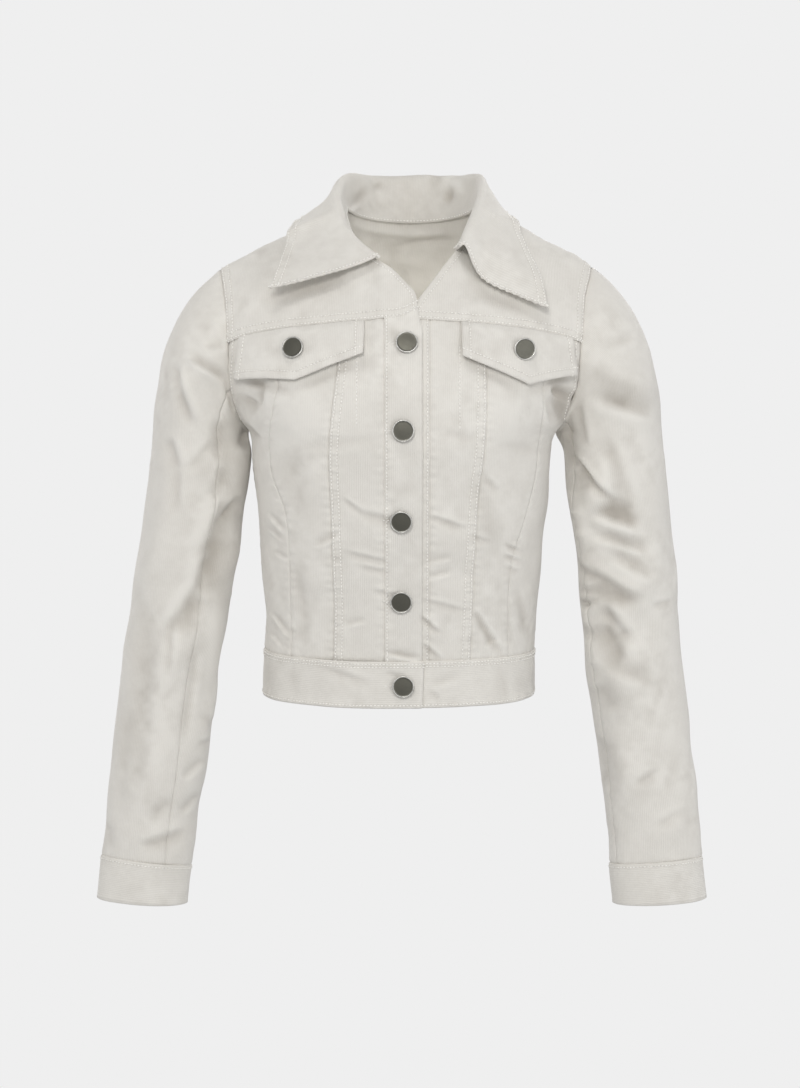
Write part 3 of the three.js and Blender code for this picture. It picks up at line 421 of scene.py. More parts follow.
FRONT_CREASES = seen_creases(
    [
        (558, 380, 566, 428, -50, 7, 2.4),
        # These four rows sink the cloth below the flaps' lower edges, and their painted shade stands in for
        # the flaps' shadows.
        (242, 380, 292, 391, -80, 5, 1.5),
        (296, 389, 358, 361, -100, 5, 1.2),
        (462, 359, 521, 390, -100, 5, 1.2),
        (527, 391, 574, 381, -75, 5, 1.5),
        (300, 447, 378, 437, -88, 5, 0.7),
        (436, 432, 478, 438, -90, 5, 0.7),
        (488, 442, 545, 453, -80, 5, 0.8),
        (316, 545, 339, 533, -90, 3, 1.3, 0.5, 315),
        (343, 498, 364, 513, -95, 2.8, 1.2, 0.5, 45),
        (360, 512, 399, 521, -97, 4.5, 1.5, 0.4, 90),
        (345, 552, 388, 561, -95, 3.2, 1.1, 0.5, 90),
        (358, 566, 392, 572, -95, 3, 0.9, 0.4, 90),
        (345, 625, 366, 619, -92, 2.8, 1, 0.4, 270),
        (372, 590, 398, 594, -93, 3, 0.8, 0.4, 90),
        (296, 560, 306, 640, -72, 6, 1.6),
        (270, 514, 285, 531, -68, 2.6, 1.3, 0.5, 225),
        (268, 530, 284, 540, -68, 2.4, 0.9, 0.5, 225),
        (274, 552, 288, 558, -68, 2.4, 0.9, 0.5, 225),
        (273, 615, 290, 636, -64, 2.6, 1.4, 0.5, 225),
        (270, 636, 286, 648, -62, 2.6, 1, 0.5, 225),
        (290, 455, 300, 520, -80, 9, 1.4),
        (384, 651, 422, 659, -94, 2.6, 1.8, 0.5, 270),
        (482, 473, 498, 492, -90, 3, 1.3, 0.4, 45),
        (428, 515, 466, 529, -97, 3.4, 1.4, 0.5, 90),
        (470, 535, 490, 543, -92, 2.8, 0.9, 0.4, 90),
        (424, 561, 452, 556, -97, 3.2, 0.9, 0.4, 270),
        (427, 576, 452, 571, -96, 3.2, 1.1, 0.4, 270),
        (424, 600, 466, 612, -94, 3.2, 0.9, 0.4, 90),
        (420, 615, 438, 633, -93, 2.6, 1.9, 0.6, 45),
        (423, 644, 440, 660, -92, 2.6, 1.5, 0.5, 45),
        (474, 611, 503, 659, -88, 3, 2.3, 0.6, 45),
        (484, 648, 500, 640, -86, 2.6, 0.8, 0.4, 315),
        (504, 543, 521, 554, -78, 2.4, 1.4, 0.5, 45),
        (504, 555, 521, 564, -77, 2.4, 1.3, 0.5, 45),
        (505, 567, 520, 574, -77, 2.4, 1, 0.5, 45),
        (516, 586, 530, 642, -66, 4.5, 1.6, 0.3, 0),
        (508, 622, 514, 648, -74, 3.5, 1, 0.3, 0),
        (472, 470, 500, 560, -88, 9, 1.3),
        (243, 383, 266, 385, -60, 5, 2.4, 0.3, 270),
        (263, 385, 259, 408, -60, 4.5, 2.4, 0.5, 0),
        (238, 396, 257, 409, -50, 4.5, 2.2, 0.4, 45),
        (246, 425, 262, 440, -50, 4, 1.6, 0.4, 45),
        (546, 380, 574, 377, -60, 5.5, 2.8, 0.3, 270),
        (556, 387, 574, 402, -55, 5, 2.6, 0.4, 225),
        (571, 392, 561, 424, -50, 7, 3.2),
        (545, 396, 552, 424, -60, 4, 1.4, 0.5, 180),
        # These two rows sink the yokes below the collar's leaves, and their painted shade stands in for the
        # leaves' shadows.
        (262, 300, 345, 276, -75, 9, 2.4),
        (470, 288, 528, 312, -75, 6, 1.8),
        (300, 395, 302, 450, -110, 26, -1),
        (505, 395, 503, 450, -110, 26, -0.9),
    ],
    strength=1.4,
    even=0.2,
    stretch=1.3,
)
BACK_CREASES = Creases(
    CREASE_COLUMNS + " bend",
    [
        (6, -3, 88, 100, 3.4, -1.3, 4),
        (-4, -17, -86, 120, 4.5, 2.2, 6),
        (20, -29, 84, 90, 4, -1.8, 5),
        (-10, -42, -82, 110, 6, 1.8, 5),
        (30, -66, 70, 80, 8, 1.6, 0),
        (-48, -120, 40, 120, 12, 2, 0),
        (52, -190, -34, 150, 14, 2.4, 0),
        (-30, -300, 78, 150, 12, 2.4, 6),
        (40, -345, -80, 150, 11, 2.4, -6),
        (-10, -385, 84, 120, 9, 1.8, 0),
    ],
    strength=1.5,
    even=0.2,
)
BAND_CREASES = seen_creases(
    [
        (318, 667, 374, 684, -92, 4, 1.1, 0.4, 90),
        (426, 686, 462, 676, -92, 4, 0.9, 0.4, 270),
        (427, 688, 442, 703, -92, 3, 0.9, 0.3, 45),
        (386, 672, 404, 676, -94, 2.6, 1.1, 0.3, 90),
        (292, 664, 296, 705, -78, 5, 0.8),
        (500, 668, 508, 705, -76, 5, 0.9, 0.2, 0),
        (268, 664, 272, 700, -50, 4, 0.9),
    ],
    strength=1.5,
    even=0.0,
    stretch=1.35,
)
RIGHT_SLEEVE_CREASES = seen_creases(
    [
        (232, 430, 222, 500, -48, 9, 1.2),
        (225, 540, 212, 600, -48, 8, 1.8),
        (256, 412, 243, 452, -40, 7, 3.4),
        (198, 600, 188, 630, -48, 7, 1.4),
        (191, 356, 226, 380, -48, 4.2, 2.6, 0.5, 225),
        (226, 378, 233, 415, -48, 5, 1.8, 0.3, 180),
        (174, 362, 192, 425, -48, 5.5, 2.4, 0.6, 0),
        (168, 438, 178, 470, -48, 6, 1.8, 0.4, 0),
        (178, 466, 178, 515, -48, 5, 1.2, 0.4, 0),
        (222, 420, 218, 462, -48, 8, 2.2),
        (228, 500, 206, 560, -48, 9, 3.2, 0.5, 180),
        (208, 555, 198, 596, -48, 8, 3, 0.4, 180),
        (198, 590, 172, 632, -48, 8, 2.7, 0.6, 135),
        (216, 540, 208, 580, -48, 6, 1.4),
        (224, 470, 214, 500, -48, 6, 1.2),
        (172, 618, 168, 680, -48, 3.6, 1.5, 0.3, 0),
        (196, 645, 184, 745, -48, 4.4, 1.3, 0.3, 0),
        (147, 600, 138, 790, -48, 11.7, 1.6),
        (166, 640, 152, 790, -48, 9.1, -1),
        (127, 700, 118, 820, -48, 6.5, 1),
        (140, 846, 186, 834, -48, 6.5, 1.9, 0.4, 90),
        (150, 822, 170, 800, -48, 5.2, 1),
        (205, 348, 226, 344, -48, 4.4, 1.4, 0.4, 270),
        (214, 440, 190, 470, -48, 5.2, 1.1, 0.4, 135),
        (238, 498, 225, 522, -40, 4.7, 1.6, 0.5, 135),
        (200, 716, 209, 736, -46, 3.4, 1, 0.4, 45),
        (196, 745, 208, 748, -46, 3.1, 1, 0.4, 90),
        (182, 780, 201, 763, -47, 3.9, 1.2, 0.4, 315),
        (181, 815, 198, 798, -47, 3.9, 1.2, 0.4, 315),
        (106, 826, 109, 852, -42, 5.2, 1.2),
        (214, 610, 210, 690, -48, 7, -2),
    ],
    strength=1.8,
    even=0.4,
    stretch=1.15,
)
LEFT_SLEEVE_CREASES = seen_creases(
    [
        (598, 508, 618, 524, -48, 6, 1.8),
        (618, 632, 630, 650, -48, 7, 1.4),
        (562, 408, 572, 440, -40, 6, 2.2),
        (574, 492, 582, 520, -48, 6, -1.5),
        (586, 530, 592, 552, -48, 6, -1.2),
        (590, 392, 656, 416, -48, 8, 2.6, 0.5, 270),
        (588, 374, 640, 396, -48, 7, 1.2),
        (597, 404, 632, 404, -48, 7, 1.4),
        (574, 458, 613, 501, -48, 3.6, 2.8, 0.6, 45),
        (578, 470, 590, 492, -48, 6, 1.8),
        (605, 438, 631, 502, -48, 7, 2, 0.4, 45),
        (604, 455, 608, 490, -48, 5, -1),
        (600, 510, 638, 526, -48, 7, 4.2, 0.6, 225),
        (606, 500, 634, 512, -48, 7, 2.4),
        (597, 534, 649, 551, -48, 5.5, 2.6, 0.5, 270),
        (602, 545, 646, 560, -48, 6, 1),
        (612, 556, 654, 578, -48, 5.5, 2.2, 0.4, 225),
        (576, 566, 640, 602, -48, 7, 2.5, 0.4, 45),
        (585, 592, 638, 604, -48, 7, 2),
        (601, 626, 624, 662, -48, 9, 3.4, 0.5, 45),
        (603, 608, 628, 640, -48, 7, 3, 0.4, 45),
        (606, 662, 650, 682, -48, 7, 1.6, 0.3, 225),
        (585, 575, 596, 590, -48, 6, -1),
        (590, 640, 600, 672, -48, 6, -1.4),
        (576, 518, 586, 562, -48, 6.5, -1.2),
        (582, 607, 594, 609, -48, 3.4, 1.3, 0.3, 90),
        (652, 606, 673, 605, -48, 3.6, 1.5, 0.4, 90),
        (600, 688, 618, 712, -48, 10.4, 1.6),
        (603, 742, 608, 795, -48, 9.1, 1.4),
        (636, 784, 660, 770, -48, 4.4, 1, 0.4, 135),
        (655, 826, 680, 812, -48, 4.4, 1, 0.4, 135),
        (680, 810, 695, 830, -48, 5.2, 0.9),
        (567, 425, 574, 470, -48, 6.5, 2),
        (605, 346, 637, 336, -42, 4.7, 1.1, 0.3, 270),
        (579, 402, 586, 446, -40, 3.9, 1.8, 0.4, 0),
        (584, 606, 599, 602, -44, 3.6, 1.4, 0.4, 90),
        (582, 505, 590, 545, -48, 6, -2),
        (586, 610, 590, 632, -48, 5, -1.6),
    ],
    strength=1.75,
    even=0.4,
    stretch=1.15,
)

NECK_OUT = 62.0
BACK_NECK_DIP = 10.0
TIP_OUT = 171.0
UNDERARM_Z = -205.0
YOKE_MIDDLE_Z = -100.5
YOKE_DROP = 21.0
YOKE_END_TURN = 62.0
YOKE_RISE = 7.0
BAND_TOP_Z = -409.0
HEM_Z = -451.0
OVERLAP = 16.5
LAP_START = -36.0
LAP_WIDTH = 20.0
LAP_TOP_LIFT = 0.8
LAP_TOP_Z = -130.0
FLAP_CURL = 1.3
FLAP_TUCK = 1.5
FLAP_TUCK_FROM = 0.86
BAND_STITCH = 13.0
BAND_EDGE = 3.0
BUTTON_BAND_REACH = 23.0

ARMHOLE = Table(
    "z front back",
    [
        (-205, 90, 90),
        (-200, 86.4, 86),
        (-194, 83.2, 82.6),
        (-181, 78.4, 77),
        (-160, 72, 70),
        (-138, 66, 64),
        (-112, 61.5, 60.5),
        (-86, 59.5, 59),
        (-56, 60.6, 60.6),
    ],
)
PANEL_SEAM = {
    Side.RIGHT: Table("z out", [(-409, 60), (-342, 61), (-273, 63.5), (-213, 64.5), (-140, 59), (-100, 56)]),
    Side.LEFT: Table("z out", [(-409, 63), (-367, 64), (-283, 66.5), (-216, 72.5), (-146, 73), (-100, 72)]),
}
SIDE_FRONT_SEAM = {
    Side.RIGHT: Table(
        "z out",
        [
            (-409, 99.5),
            (-360, 101),
            (-318, 102),
            (-275, 106),
            (-236, 118.5),
            (-197, 119),
            (-157, 112.5),
            (-110, 110),
        ],
    ),
    Side.LEFT: Table(
        "z out",
        [
            (-409, 99),
            (-360, 97),
            (-318, 100),
            (-275, 113),
            (-236, 121.5),
            (-197, 125),
            (-157, 127),
            (-110, 122),
        ],
    ),
}
NECK_EDGE = {
    Side.RIGHT: [
        (12.3, -93.5),
        (10, -80),
        (2.5, -70.5),
        (-9, -58.5),
        (-24, -48.5),
        (-41, -34),
        (-52, -14),
        (-55, 1),
    ],
    Side.LEFT: [
        (4, -100),
        (12, -86.5),
        (21, -74.5),
        (34.5, -57),
        (49, -39),
        (60, -22),
        (68.5, -7),
        (71.5, 1),
    ],
}


def yoke_z(turn: Array) -> Array:
    """The height of the yoke seam at an angle round the torso."""
    return YOKE_MIDDLE_Z - YOKE_DROP * np.abs(turn / YOKE_END_TURN) ** 1.5


def lifted_yoke_z(turn: Array) -> Array:
    """The yoke seam of the right front, which rises towards its free edge."""
    return yoke_z(turn) + YOKE_RISE * smooth((turn + 1.3) / 4)


def turn_out(out: Array, side: Side, z: Array) -> Array:
    """The angle of a place at a distance out from the middle of its section."""
    return FORM.turn_at(side.value * out + FORM.middle(z), z)


def seam_line(table: Table, side: Side) -> SeamLine:
    """A front seam from the waistband up to the yoke seam.

    Args:
        table: how far out the seam lies at each height.
        side: the side of the garment.

    Returns:
        The line as angle and height at each share of its length.
    """
    top = np.float64(YOKE_MIDDLE_Z)
    for _ in range(6):
        top = yoke_z(turn_out(table.at(top, "out"), side, top))

    def line(t: Array) -> Array:
        """The seam's angle and height at a share."""
        z = mix(BAND_TOP_Z, top, t)
        return places(turn_out(table.at(z, "out"), side, z), z)

    return line


def upright_line(x: float, top_z: float) -> SeamLine:
    """A line at a fixed distance from the centre front, from the waistband up."""

    def line(t: Array) -> Array:
        """The line's angle and height at a share."""
        z = mix(BAND_TOP_Z, top_z, t)
        return places(FORM.turn_at(x, z), z)

    return line


def overlap_edge(t: Array) -> Array:
    """The free edge of the right front, which turns in a little at its top."""
    z = mix(BAND_TOP_Z, lifted_yoke_z(FORM.turn_at(OVERLAP, YOKE_MIDDLE_Z)), t)
    return places(FORM.turn_at(OVERLAP - 4 * smooth((z + 114) / 20), z), z)


def armhole(side: Side, face: int, share: Array) -> Array:
    """The armhole as angle and height: share 0 at the shoulder tip, 1 under the arm.

    Args:
        side: the side of the garment.
        face: 1 for the front and -1 for the back.
        share: the share of the way down.

    Returns:
        Angles and heights.
    """
    share = np.asarray(share, float)
    z = mix(FORM.shoulder_z(side.value * TIP_OUT), UNDERARM_Z, (1 - np.cos(np.pi * share)) / 2)
    turn = np.minimum(ARMHOLE.at(z, "front" if face > 0 else "back"), 90)
    return places(side.value * (turn if face > 0 else 180 - turn), z)


def yoke_armhole_share(side: Side) -> float:
    """The share of the armhole where the yoke seam ends."""
    low, high = 0.0, 0.8
    for _ in range(24):
        middle = (low + high) / 2
        turn, z = armhole(side, 1, middle)
        low, high = (middle, high) if z > yoke_z(turn) else (low, middle)
    return low


def side_line(side: Side, face: int, top_share: float) -> SeamLine:
    """The side seam up to the underarm, and then the armhole, as one line.

    Args:
        side: the side of the garment.
        face: 1 for the front and -1 for the back.
        top_share: the share of the armhole where the line ends.

    Returns:
        The line as angle and height at each share of its length.
    """
    seam_length = UNDERARM_Z - BAND_TOP_Z
    shares = np.linspace(1, top_share, 161)
    way = armhole(side, face, shares)
    steps = np.linalg.norm(np.diff(FORM.point(way[:, 0], way[:, 1]), axis=0), axis=-1)
    lengths = np.concatenate([[0], np.cumsum(steps)])

    def line(t: Array) -> Array:
        """The line's angle and height at a share."""
        length = np.asarray(t) * (seam_length + lengths[-1])
        seam = places(side.value * 90.0, BAND_TOP_Z + length)
        hole = armhole(side, face, np.interp(length - seam_length, lengths, shares))
        return np.where((length <= seam_length)[..., None], seam, hole)

    return line


def neck_line(side: Side) -> SeamLine:
    """The front edge of a yoke as angle and height, from the yoke seam to the shoulder."""
    rows = [(i / (len(NECK_EDGE[side]) - 1), x, z) for i, (x, z) in enumerate(NECK_EDGE[side])]
    table = Table("share x z", rows)
    return lambda t: places(FORM.turn_at(table.at(t, "x"), table.at(t, "z")), table.at(t, "z"))


def shoulder_line(side: Side, face: int) -> SeamLine:
    """The shoulder seam from the neck out to the tip, as angle and height."""

    def line(s: Array) -> Array:
        """The seam's angle and height at a share."""
        out = mix(NECK_OUT, TIP_OUT, np.asarray(s, float))
        z = FORM.shoulder_z(side.value * out) - 0.02
        turn = FORM.turn_at(FORM.middle(z) + out, z)
        return places(side.value * (turn if face > 0 else 180 - turn), z)

    return line


def overlap_lift(turn: Array, z: Array, *_: Array) -> Array:
    """How far the right front is lifted where it lies over the left one, a little more at its top."""
    over = smooth((FORM.point(turn, z)[..., 0] - LAP_START) / LAP_WIDTH)
    return (PLACKET_LIFT + LAP_TOP_LIFT * smooth((z - LAP_TOP_Z) / 30)) * over


def coons(low: SeamLine, high: SeamLine, start: SeamLine, end: SeamLine, s: Array, t: Array) -> Array:
    """A grid of angles and heights inside four seam lines.

    Args:
        low: the lower line, by share across.
        high: the upper line, by share across.
        start: the first upright line, by share up.
        end: the last upright line, by share up.
        s: shares across.
        t: shares up.

    Returns:
        The grid, rows first.
    """
    a, b = start(t)[:, None], end(t)[:, None]
    c, d = low(s)[None], high(s)[None]
    s2, t2 = s[None, :, None], t[:, None, None]
    ends = np.array([0.0, 1.0])
    first, last = start(ends), end(ends)
    corners = mix(mix(first[0], last[0], s2), mix(first[1], last[1], s2), t2)
    return mix(a, b, s2) + mix(c, d, t2) - corners


@dataclass(frozen=True)
class Seam:
    """How one edge of a panel is sewn.

    The dip is how far the cloth sinks at the seam, the lap how far it stands up beside it, the reach how
    wide the lap is, and the rows are the distances of its rows of topstitching, sewn above a height. Puckers
    are broad and ripples are short.
    """

    dip: float = 0.45
    lap: float = 0.0
    reach: float = 9.0
    rows: tuple[float, ...] = ()
    pucker: float = 0.26
    ripple: float = 0.0
    above: float = -1000.0


PLAIN = Seam()
FREE = Seam(dip=0.0, pucker=0.0)
LAPPED = Seam(dip=-0.05, lap=0.4, reach=9.5, rows=(1.6, 7.6), pucker=0.32, ripple=0.32)
QUIET = Seam(dip=0.25, pucker=0.06)
UNDER = Seam(dip=0.8, pucker=0.34)
V_EDGE = {
    Side.RIGHT: Seam(dip=-0.9, rows=(3.4,), pucker=0.12),
    Side.LEFT: Seam(dip=-0.8, lap=0.5, reach=7.0, rows=(5.6,), pucker=0.12),
}


@dataclass
class Cloth:
    """A piece of cloth as a grid of places on its middle surface."""

    name: str
    points: Array
    normals: Array
    across: Array
    along: Array
    thickness: float = CLOTH
    ring: bool = False
    seams: dict[Edge, Seam] = field(default_factory=dict)
    held: str = "draped"

    DIP_WIDTH = 1.9
    DIP_TONE = 1.3
    LAP_SLOPE = 2.4
    PUCKER_WIDTH = 7.0
    RIPPLE_PLACE = 4.6
    RIPPLE_WIDTH = 3.4
    CRUMPLE_TONE = 4.0
    RIM_TONE = 2.2
    RIM_ROUND = 0.28
    FAR = 0.5

    def __post_init__(self) -> None:
        """Measures the piece before anything is pressed into it."""
        self.hollow = np.zeros(self.points.shape[:2])
        self.flat_points = self.points.copy()
        rows = np.linalg.norm(np.diff(self.points, axis=1), axis=-1)
        columns = np.linalg.norm(np.diff(self.points, axis=0), axis=-1)
        zero = np.zeros((len(self.points), 1))
        from_start = np.concatenate([zero, np.cumsum(rows, axis=1)], axis=1)
        from_low = np.concatenate([np.zeros((1, self.points.shape[1])), np.cumsum(columns, axis=0)], axis=0)
        self.distance = {
            Edge.START: from_start,
            Edge.END: from_start[:, -1:] - from_start,
            Edge.LOW: from_low,
            Edge.HIGH: from_low[-1:] - from_low,
        }
        self.width = float(from_start[:, -1].max())
        self.length = float(from_low[-1].max())
        rising = self.points[1:, 1:] - self.points[:-1, :-1]
        falling = self.points[1:, :-1] - self.points[:-1, 1:]
        self.area = float(np.linalg.norm(np.cross(rising, falling), axis=-1).sum() / 2)

    def along_edge(self, edge: Edge) -> Array:
        """The distance travelled along an edge, at each place of the grid."""
        return self.distance[Edge.LOW] if edge in (Edge.START, Edge.END) else self.distance[Edge.START]

    def press(self, depth: Array, tone: float = 0.0) -> None:
        """Sinks the cloth along its normals, and paints a share of the depth as shade in valleys and as light
        on ridges.
        """
        self.points = self.points - self.normals * depth[..., None]
        self.hollow = self.hollow + depth * tone

    def relief(self, seed: float = 0.0) -> None:
        """Gives the cloth its waves and the dips, laps and puckers of its seams, with painted shade in the
        seams' dips and painted shade and light on the crumples.

        Args:
            seed: a shift of the puckers, so that no two pieces match.
        """
        depth = -WAVES.at(self.flat_points)
        for edge, seam in self.seams.items():
            d = self.distance[edge]
            run = self.along_edge(edge) + seed * 31.7
            groove = np.exp(-((d / self.DIP_WIDTH) ** 2))
            depth += seam.dip * groove
            depth -= seam.lap * (1 - smooth((d - seam.reach + self.LAP_SLOPE / 2) / self.LAP_SLOPE))
            gather = np.sin(run * 0.71 + 1.3 * np.sin(run * 0.093)) + 0.7 * np.sin(run * 0.413 + seed)
            near = np.exp(-((d / self.PUCKER_WIDTH) ** 2))
            depth += seam.pucker * gather * near * smooth(d / 1.5 + 0.3)
            if seam.ripple:
                short = np.sin(run * 1.4 + 1.9 * np.sin(run * 0.12)) * (0.6 + 0.5 * np.sin(run * 0.21 + seed))
                depth += seam.ripple * short * np.exp(-(((d - self.RIPPLE_PLACE) / self.RIPPLE_WIDTH) ** 2))
            # Painted shade in the seam's dip.
            self.hollow += self.DIP_TONE * max(seam.dip, 0.0) * groove
        self.press(depth)
        patches = 0.55 + np.clip(WAVES.at(self.flat_points[..., [1, 2, 0]]), -0.45, 1.2)
        # Painted shade in the crumples' valleys and painted light on their ridges.
        self.press(-CRUMPLE.at(self.flat_points) * patches, self.CRUMPLE_TONE)

    def row_gaps(self) -> Array:
        """How far each place lies from the two rows of stitches of its nearest edge, in metres."""
        gaps = np.full((*self.points.shape[:2], 3), self.FAR)
        nearest = np.full(self.points.shape[:2], np.inf)
        for edge, seam in self.seams.items():
            if seam.rows:
                distance = self.distance[edge]
                both = places(distance - seam.rows[0], distance - seam.rows[-1], 0.0) * MILLIMETRE
                closer = (distance < nearest) & (self.points[..., 2] > seam.above)
                gaps = np.where(closer[..., None], both, gaps)
                nearest = np.where(closer, distance, nearest)
        return gaps

    def thread_lines(self) -> list[Array]:
        """The lines of topstitching, just above the outer face.

        Returns:
            One array of places for each line.
        """
        lines = []
        for edge, seam in self.seams.items():
            for row in seam.rows:
                line = self.line_at(edge, row)
                lines.append(line[line[:, 2] > seam.above])
        return lines

    def line_at(self, edge: Edge, inset: float, lift: float = 0.26) -> Array:
        """A line on the outer face at a distance from an edge.

        Args:
            edge: the edge that it follows.
            inset: its distance from the edge.
            lift: its height above the face.

        Returns:
            The places along it.
        """
        outer = self.points + self.normals * (self.thickness / 2 + lift)
        distance = self.distance[edge]
        if edge in (Edge.LOW, Edge.HIGH):
            outer, distance = np.swapaxes(outer, 0, 1), distance.T
        if edge in (Edge.END, Edge.HIGH):
            outer, distance = outer[:, ::-1], distance[:, ::-1]
        found = []
        for line, gaps in zip(outer, distance):
            if gaps[-1] > inset + 0.5:
                found.append([np.interp(inset, gaps, line[:, k]) for k in range(3)])
        return np.array(found)

    def mesh(self) -> bpy.types.Object:
        """Makes the closed, thin shell with rounded rims.

        Returns:
            The new object, at the origin.
        """
        rows, columns = self.points.shape[:2]
        half = self.normals * (self.thickness / 2)
        rim_out = self.thickness * self.RIM_ROUND
        outer, inner = self.points + half, self.points - half
        verts = [outer.reshape(-1, 3), inner.reshape(-1, 3)]
        count = rows * columns
        grid = np.arange(count).reshape(rows, columns)
        uv = places(self.across, self.along)
        if self.ring:
            grid = np.concatenate([grid, grid[:, :1]], axis=1)
            outer = np.concatenate([outer, outer[:, :1]], axis=1)
            inner = np.concatenate([inner, inner[:, :1]], axis=1)
        wide = grid.shape[1]
        spots = np.arange(rows * wide).reshape(rows, wide)
        quads, corners = [], []

        def add(ids: tuple[Array, ...], marks: tuple[Array, ...]) -> None:
            """Adds faces from matching arrays of vertex numbers and places in the UV grid."""
            quads.append(np.stack([a.ravel() for a in ids], axis=1))
            corners.append(np.stack([a.ravel() for a in marks], axis=1))

        a, b, c, d = grid[:-1, :-1], grid[:-1, 1:], grid[1:, 1:], grid[1:, :-1]
        e, f, g, h = spots[:-1, :-1], spots[:-1, 1:], spots[1:, 1:], spots[1:, :-1]
        add((a, b, c, d), (e, f, g, h))
        add((a + count, d + count, c + count, b + count), (e, h, g, f))
        layers = (grid, spots, self.points)
        first, last = [a[0] for a in layers], [a[-1][::-1] for a in layers]
        rims = [(Edge.LOW, *first, self.points[1]), (Edge.HIGH, *last, self.points[-2][::-1])]
        if not self.ring:
            start, end = [a[:, 0][::-1] for a in layers], [a[:, -1] for a in layers]
            rims.append((Edge.START, *start, self.points[:, 1][::-1]))
            rims.append((Edge.END, *end, self.points[:, -2]))
        following, rim_painted_shade = 2 * count, []
        for side, ids, marks, edge, inside in rims:
            proud = edge + unit(edge - inside) * rim_out
            verts.append(proud)
            # Rims sewn into a seam get painted shade, standing in for the dark gap between the panels.
            sewn_in = self.seams.get(side, PLAIN).dip > 0.3
            rim_painted_shade.append(np.full(len(proud), self.RIM_TONE if sewn_in else 0.0))
            mid = following + np.arange(len(proud))
            following += len(proud)
            if self.ring:
                mid = np.append(mid, mid[0])
            low, spot = ids + count, (marks[1:], marks[:-1], marks[:-1], marks[1:])
            add((ids[1:], ids[:-1], mid[:-1], mid[1:]), spot)
            add((mid[1:], mid[:-1], low[:-1], low[1:]), spot)
        made = np.concatenate(verts) * MILLIMETRE
        faces, face_uv = np.concatenate(quads), np.concatenate(corners)
        if faces_inward(made, faces):
            faces, face_uv = faces[:, ::-1], face_uv[:, ::-1]
        obj = mesh_object(self.name, made, faces)
        layer = obj.data.uv_layers.new(name="cloth")
        layer.data.foreach_set("uv", (uv.reshape(-1, 2)[face_uv.ravel()] * MILLIMETRE).ravel())
        gaps = np.full((len(made), 3), self.FAR)
        gaps[:count] = self.row_gaps().reshape(-1, 3)
        mark = obj.data.attributes.new("row_gaps", "FLOAT_VECTOR", "POINT")
        mark.data.foreach_set("vector", gaps.ravel())
        # Outer faces carry the painted light and shade, inner faces its opposite, and sewn-in rims their
        # painted shade.
        add_values(obj, "hollow", np.concatenate([self.hollow.ravel(), -self.hollow.ravel(), *rim_painted_shade]))
        if not self.ring:
            self.weld_corners(obj)
        return obj

    @staticmethod
    def weld_corners(obj: bpy.types.Object) -> None:
        """Joins the loose ends of the rims, so that the shell is closed."""
        work = bmesh.new()
        work.from_mesh(obj.data)
        open_edges = [e for e in work.edges if e.is_boundary]
        bmesh.ops.holes_fill(work, edges=open_edges, sides=8)
        work.to_mesh(obj.data)
        work.free()


def faces_inward(verts: Array, faces: Array) -> bool:
    """Whether a closed mesh's faces look inward, told from their first three corners."""
    a, b, c = (verts[faces[:, corner]] for corner in range(3))
    return bool(np.einsum("ij,ij->i", a, np.cross(b, c)).sum() < 0)


def add_values(obj: bpy.types.Object, name: str, values: Array) -> None:
    """Gives each vertex of an object a value that its material reads."""
    mark = obj.data.attributes.new(name, "FLOAT", "POINT")
    mark.data.foreach_set("value", values.astype(np.float32))


def linked(name: str, data: bpy.types.ID) -> bpy.types.Object:
    """A new object of some data, linked to the scene."""
    made = bpy.data.objects.new(name, data)
    bpy.context.scene.collection.objects.link(made)
    return made


def grid_corners(rows: int, sides: int) -> tuple[Array, Array]:
    """The vertex numbers of a grid that closes on itself, and the four corners of its faces."""
    grid = np.arange(rows * sides).reshape(rows, sides)
    grid = np.concatenate([grid, grid[:, :1]], axis=1)
    return grid, np.array([grid[:-1, :-1], grid[:-1, 1:], grid[1:, 1:], grid[1:, :-1]])


def fan(hub: int, one: Array, other: Array) -> Array:
    """Triangles from a middle vertex to each pair of neighbours on a ring."""
    return np.stack([np.full(len(one), hub), one, other], -1)


def mesh_object(name: str, verts: Array, faces: Array) -> bpy.types.Object:
    """Makes a smooth shaded object from places and faces of one size.

    Args:
        name: the object's name.
        verts: places in metres.
        faces: vertex numbers, one row for each face.

    Returns:
        The new object, linked to the scene.
    """
    mesh = bpy.data.meshes.new(name)
    sides = faces.shape[1]
    mesh.vertices.add(len(verts))
    mesh.vertices.foreach_set("co", np.ascontiguousarray(verts, np.float32).ravel())
    mesh.loops.add(faces.size)
    mesh.loops.foreach_set("vertex_index", np.ascontiguousarray(faces, np.int32).ravel())
    mesh.polygons.add(len(faces))
    mesh.polygons.foreach_set("loop_start", np.arange(0, faces.size, sides, dtype=np.int32))
    mesh.update(calc_edges=True)
    mesh.validate()
    mesh.shade_smooth()
    return linked(name, mesh)


def own_seed(name: str) -> int:
    """A small number of each piece's own, from its name."""
    return sum(map(ord, name)) % 17


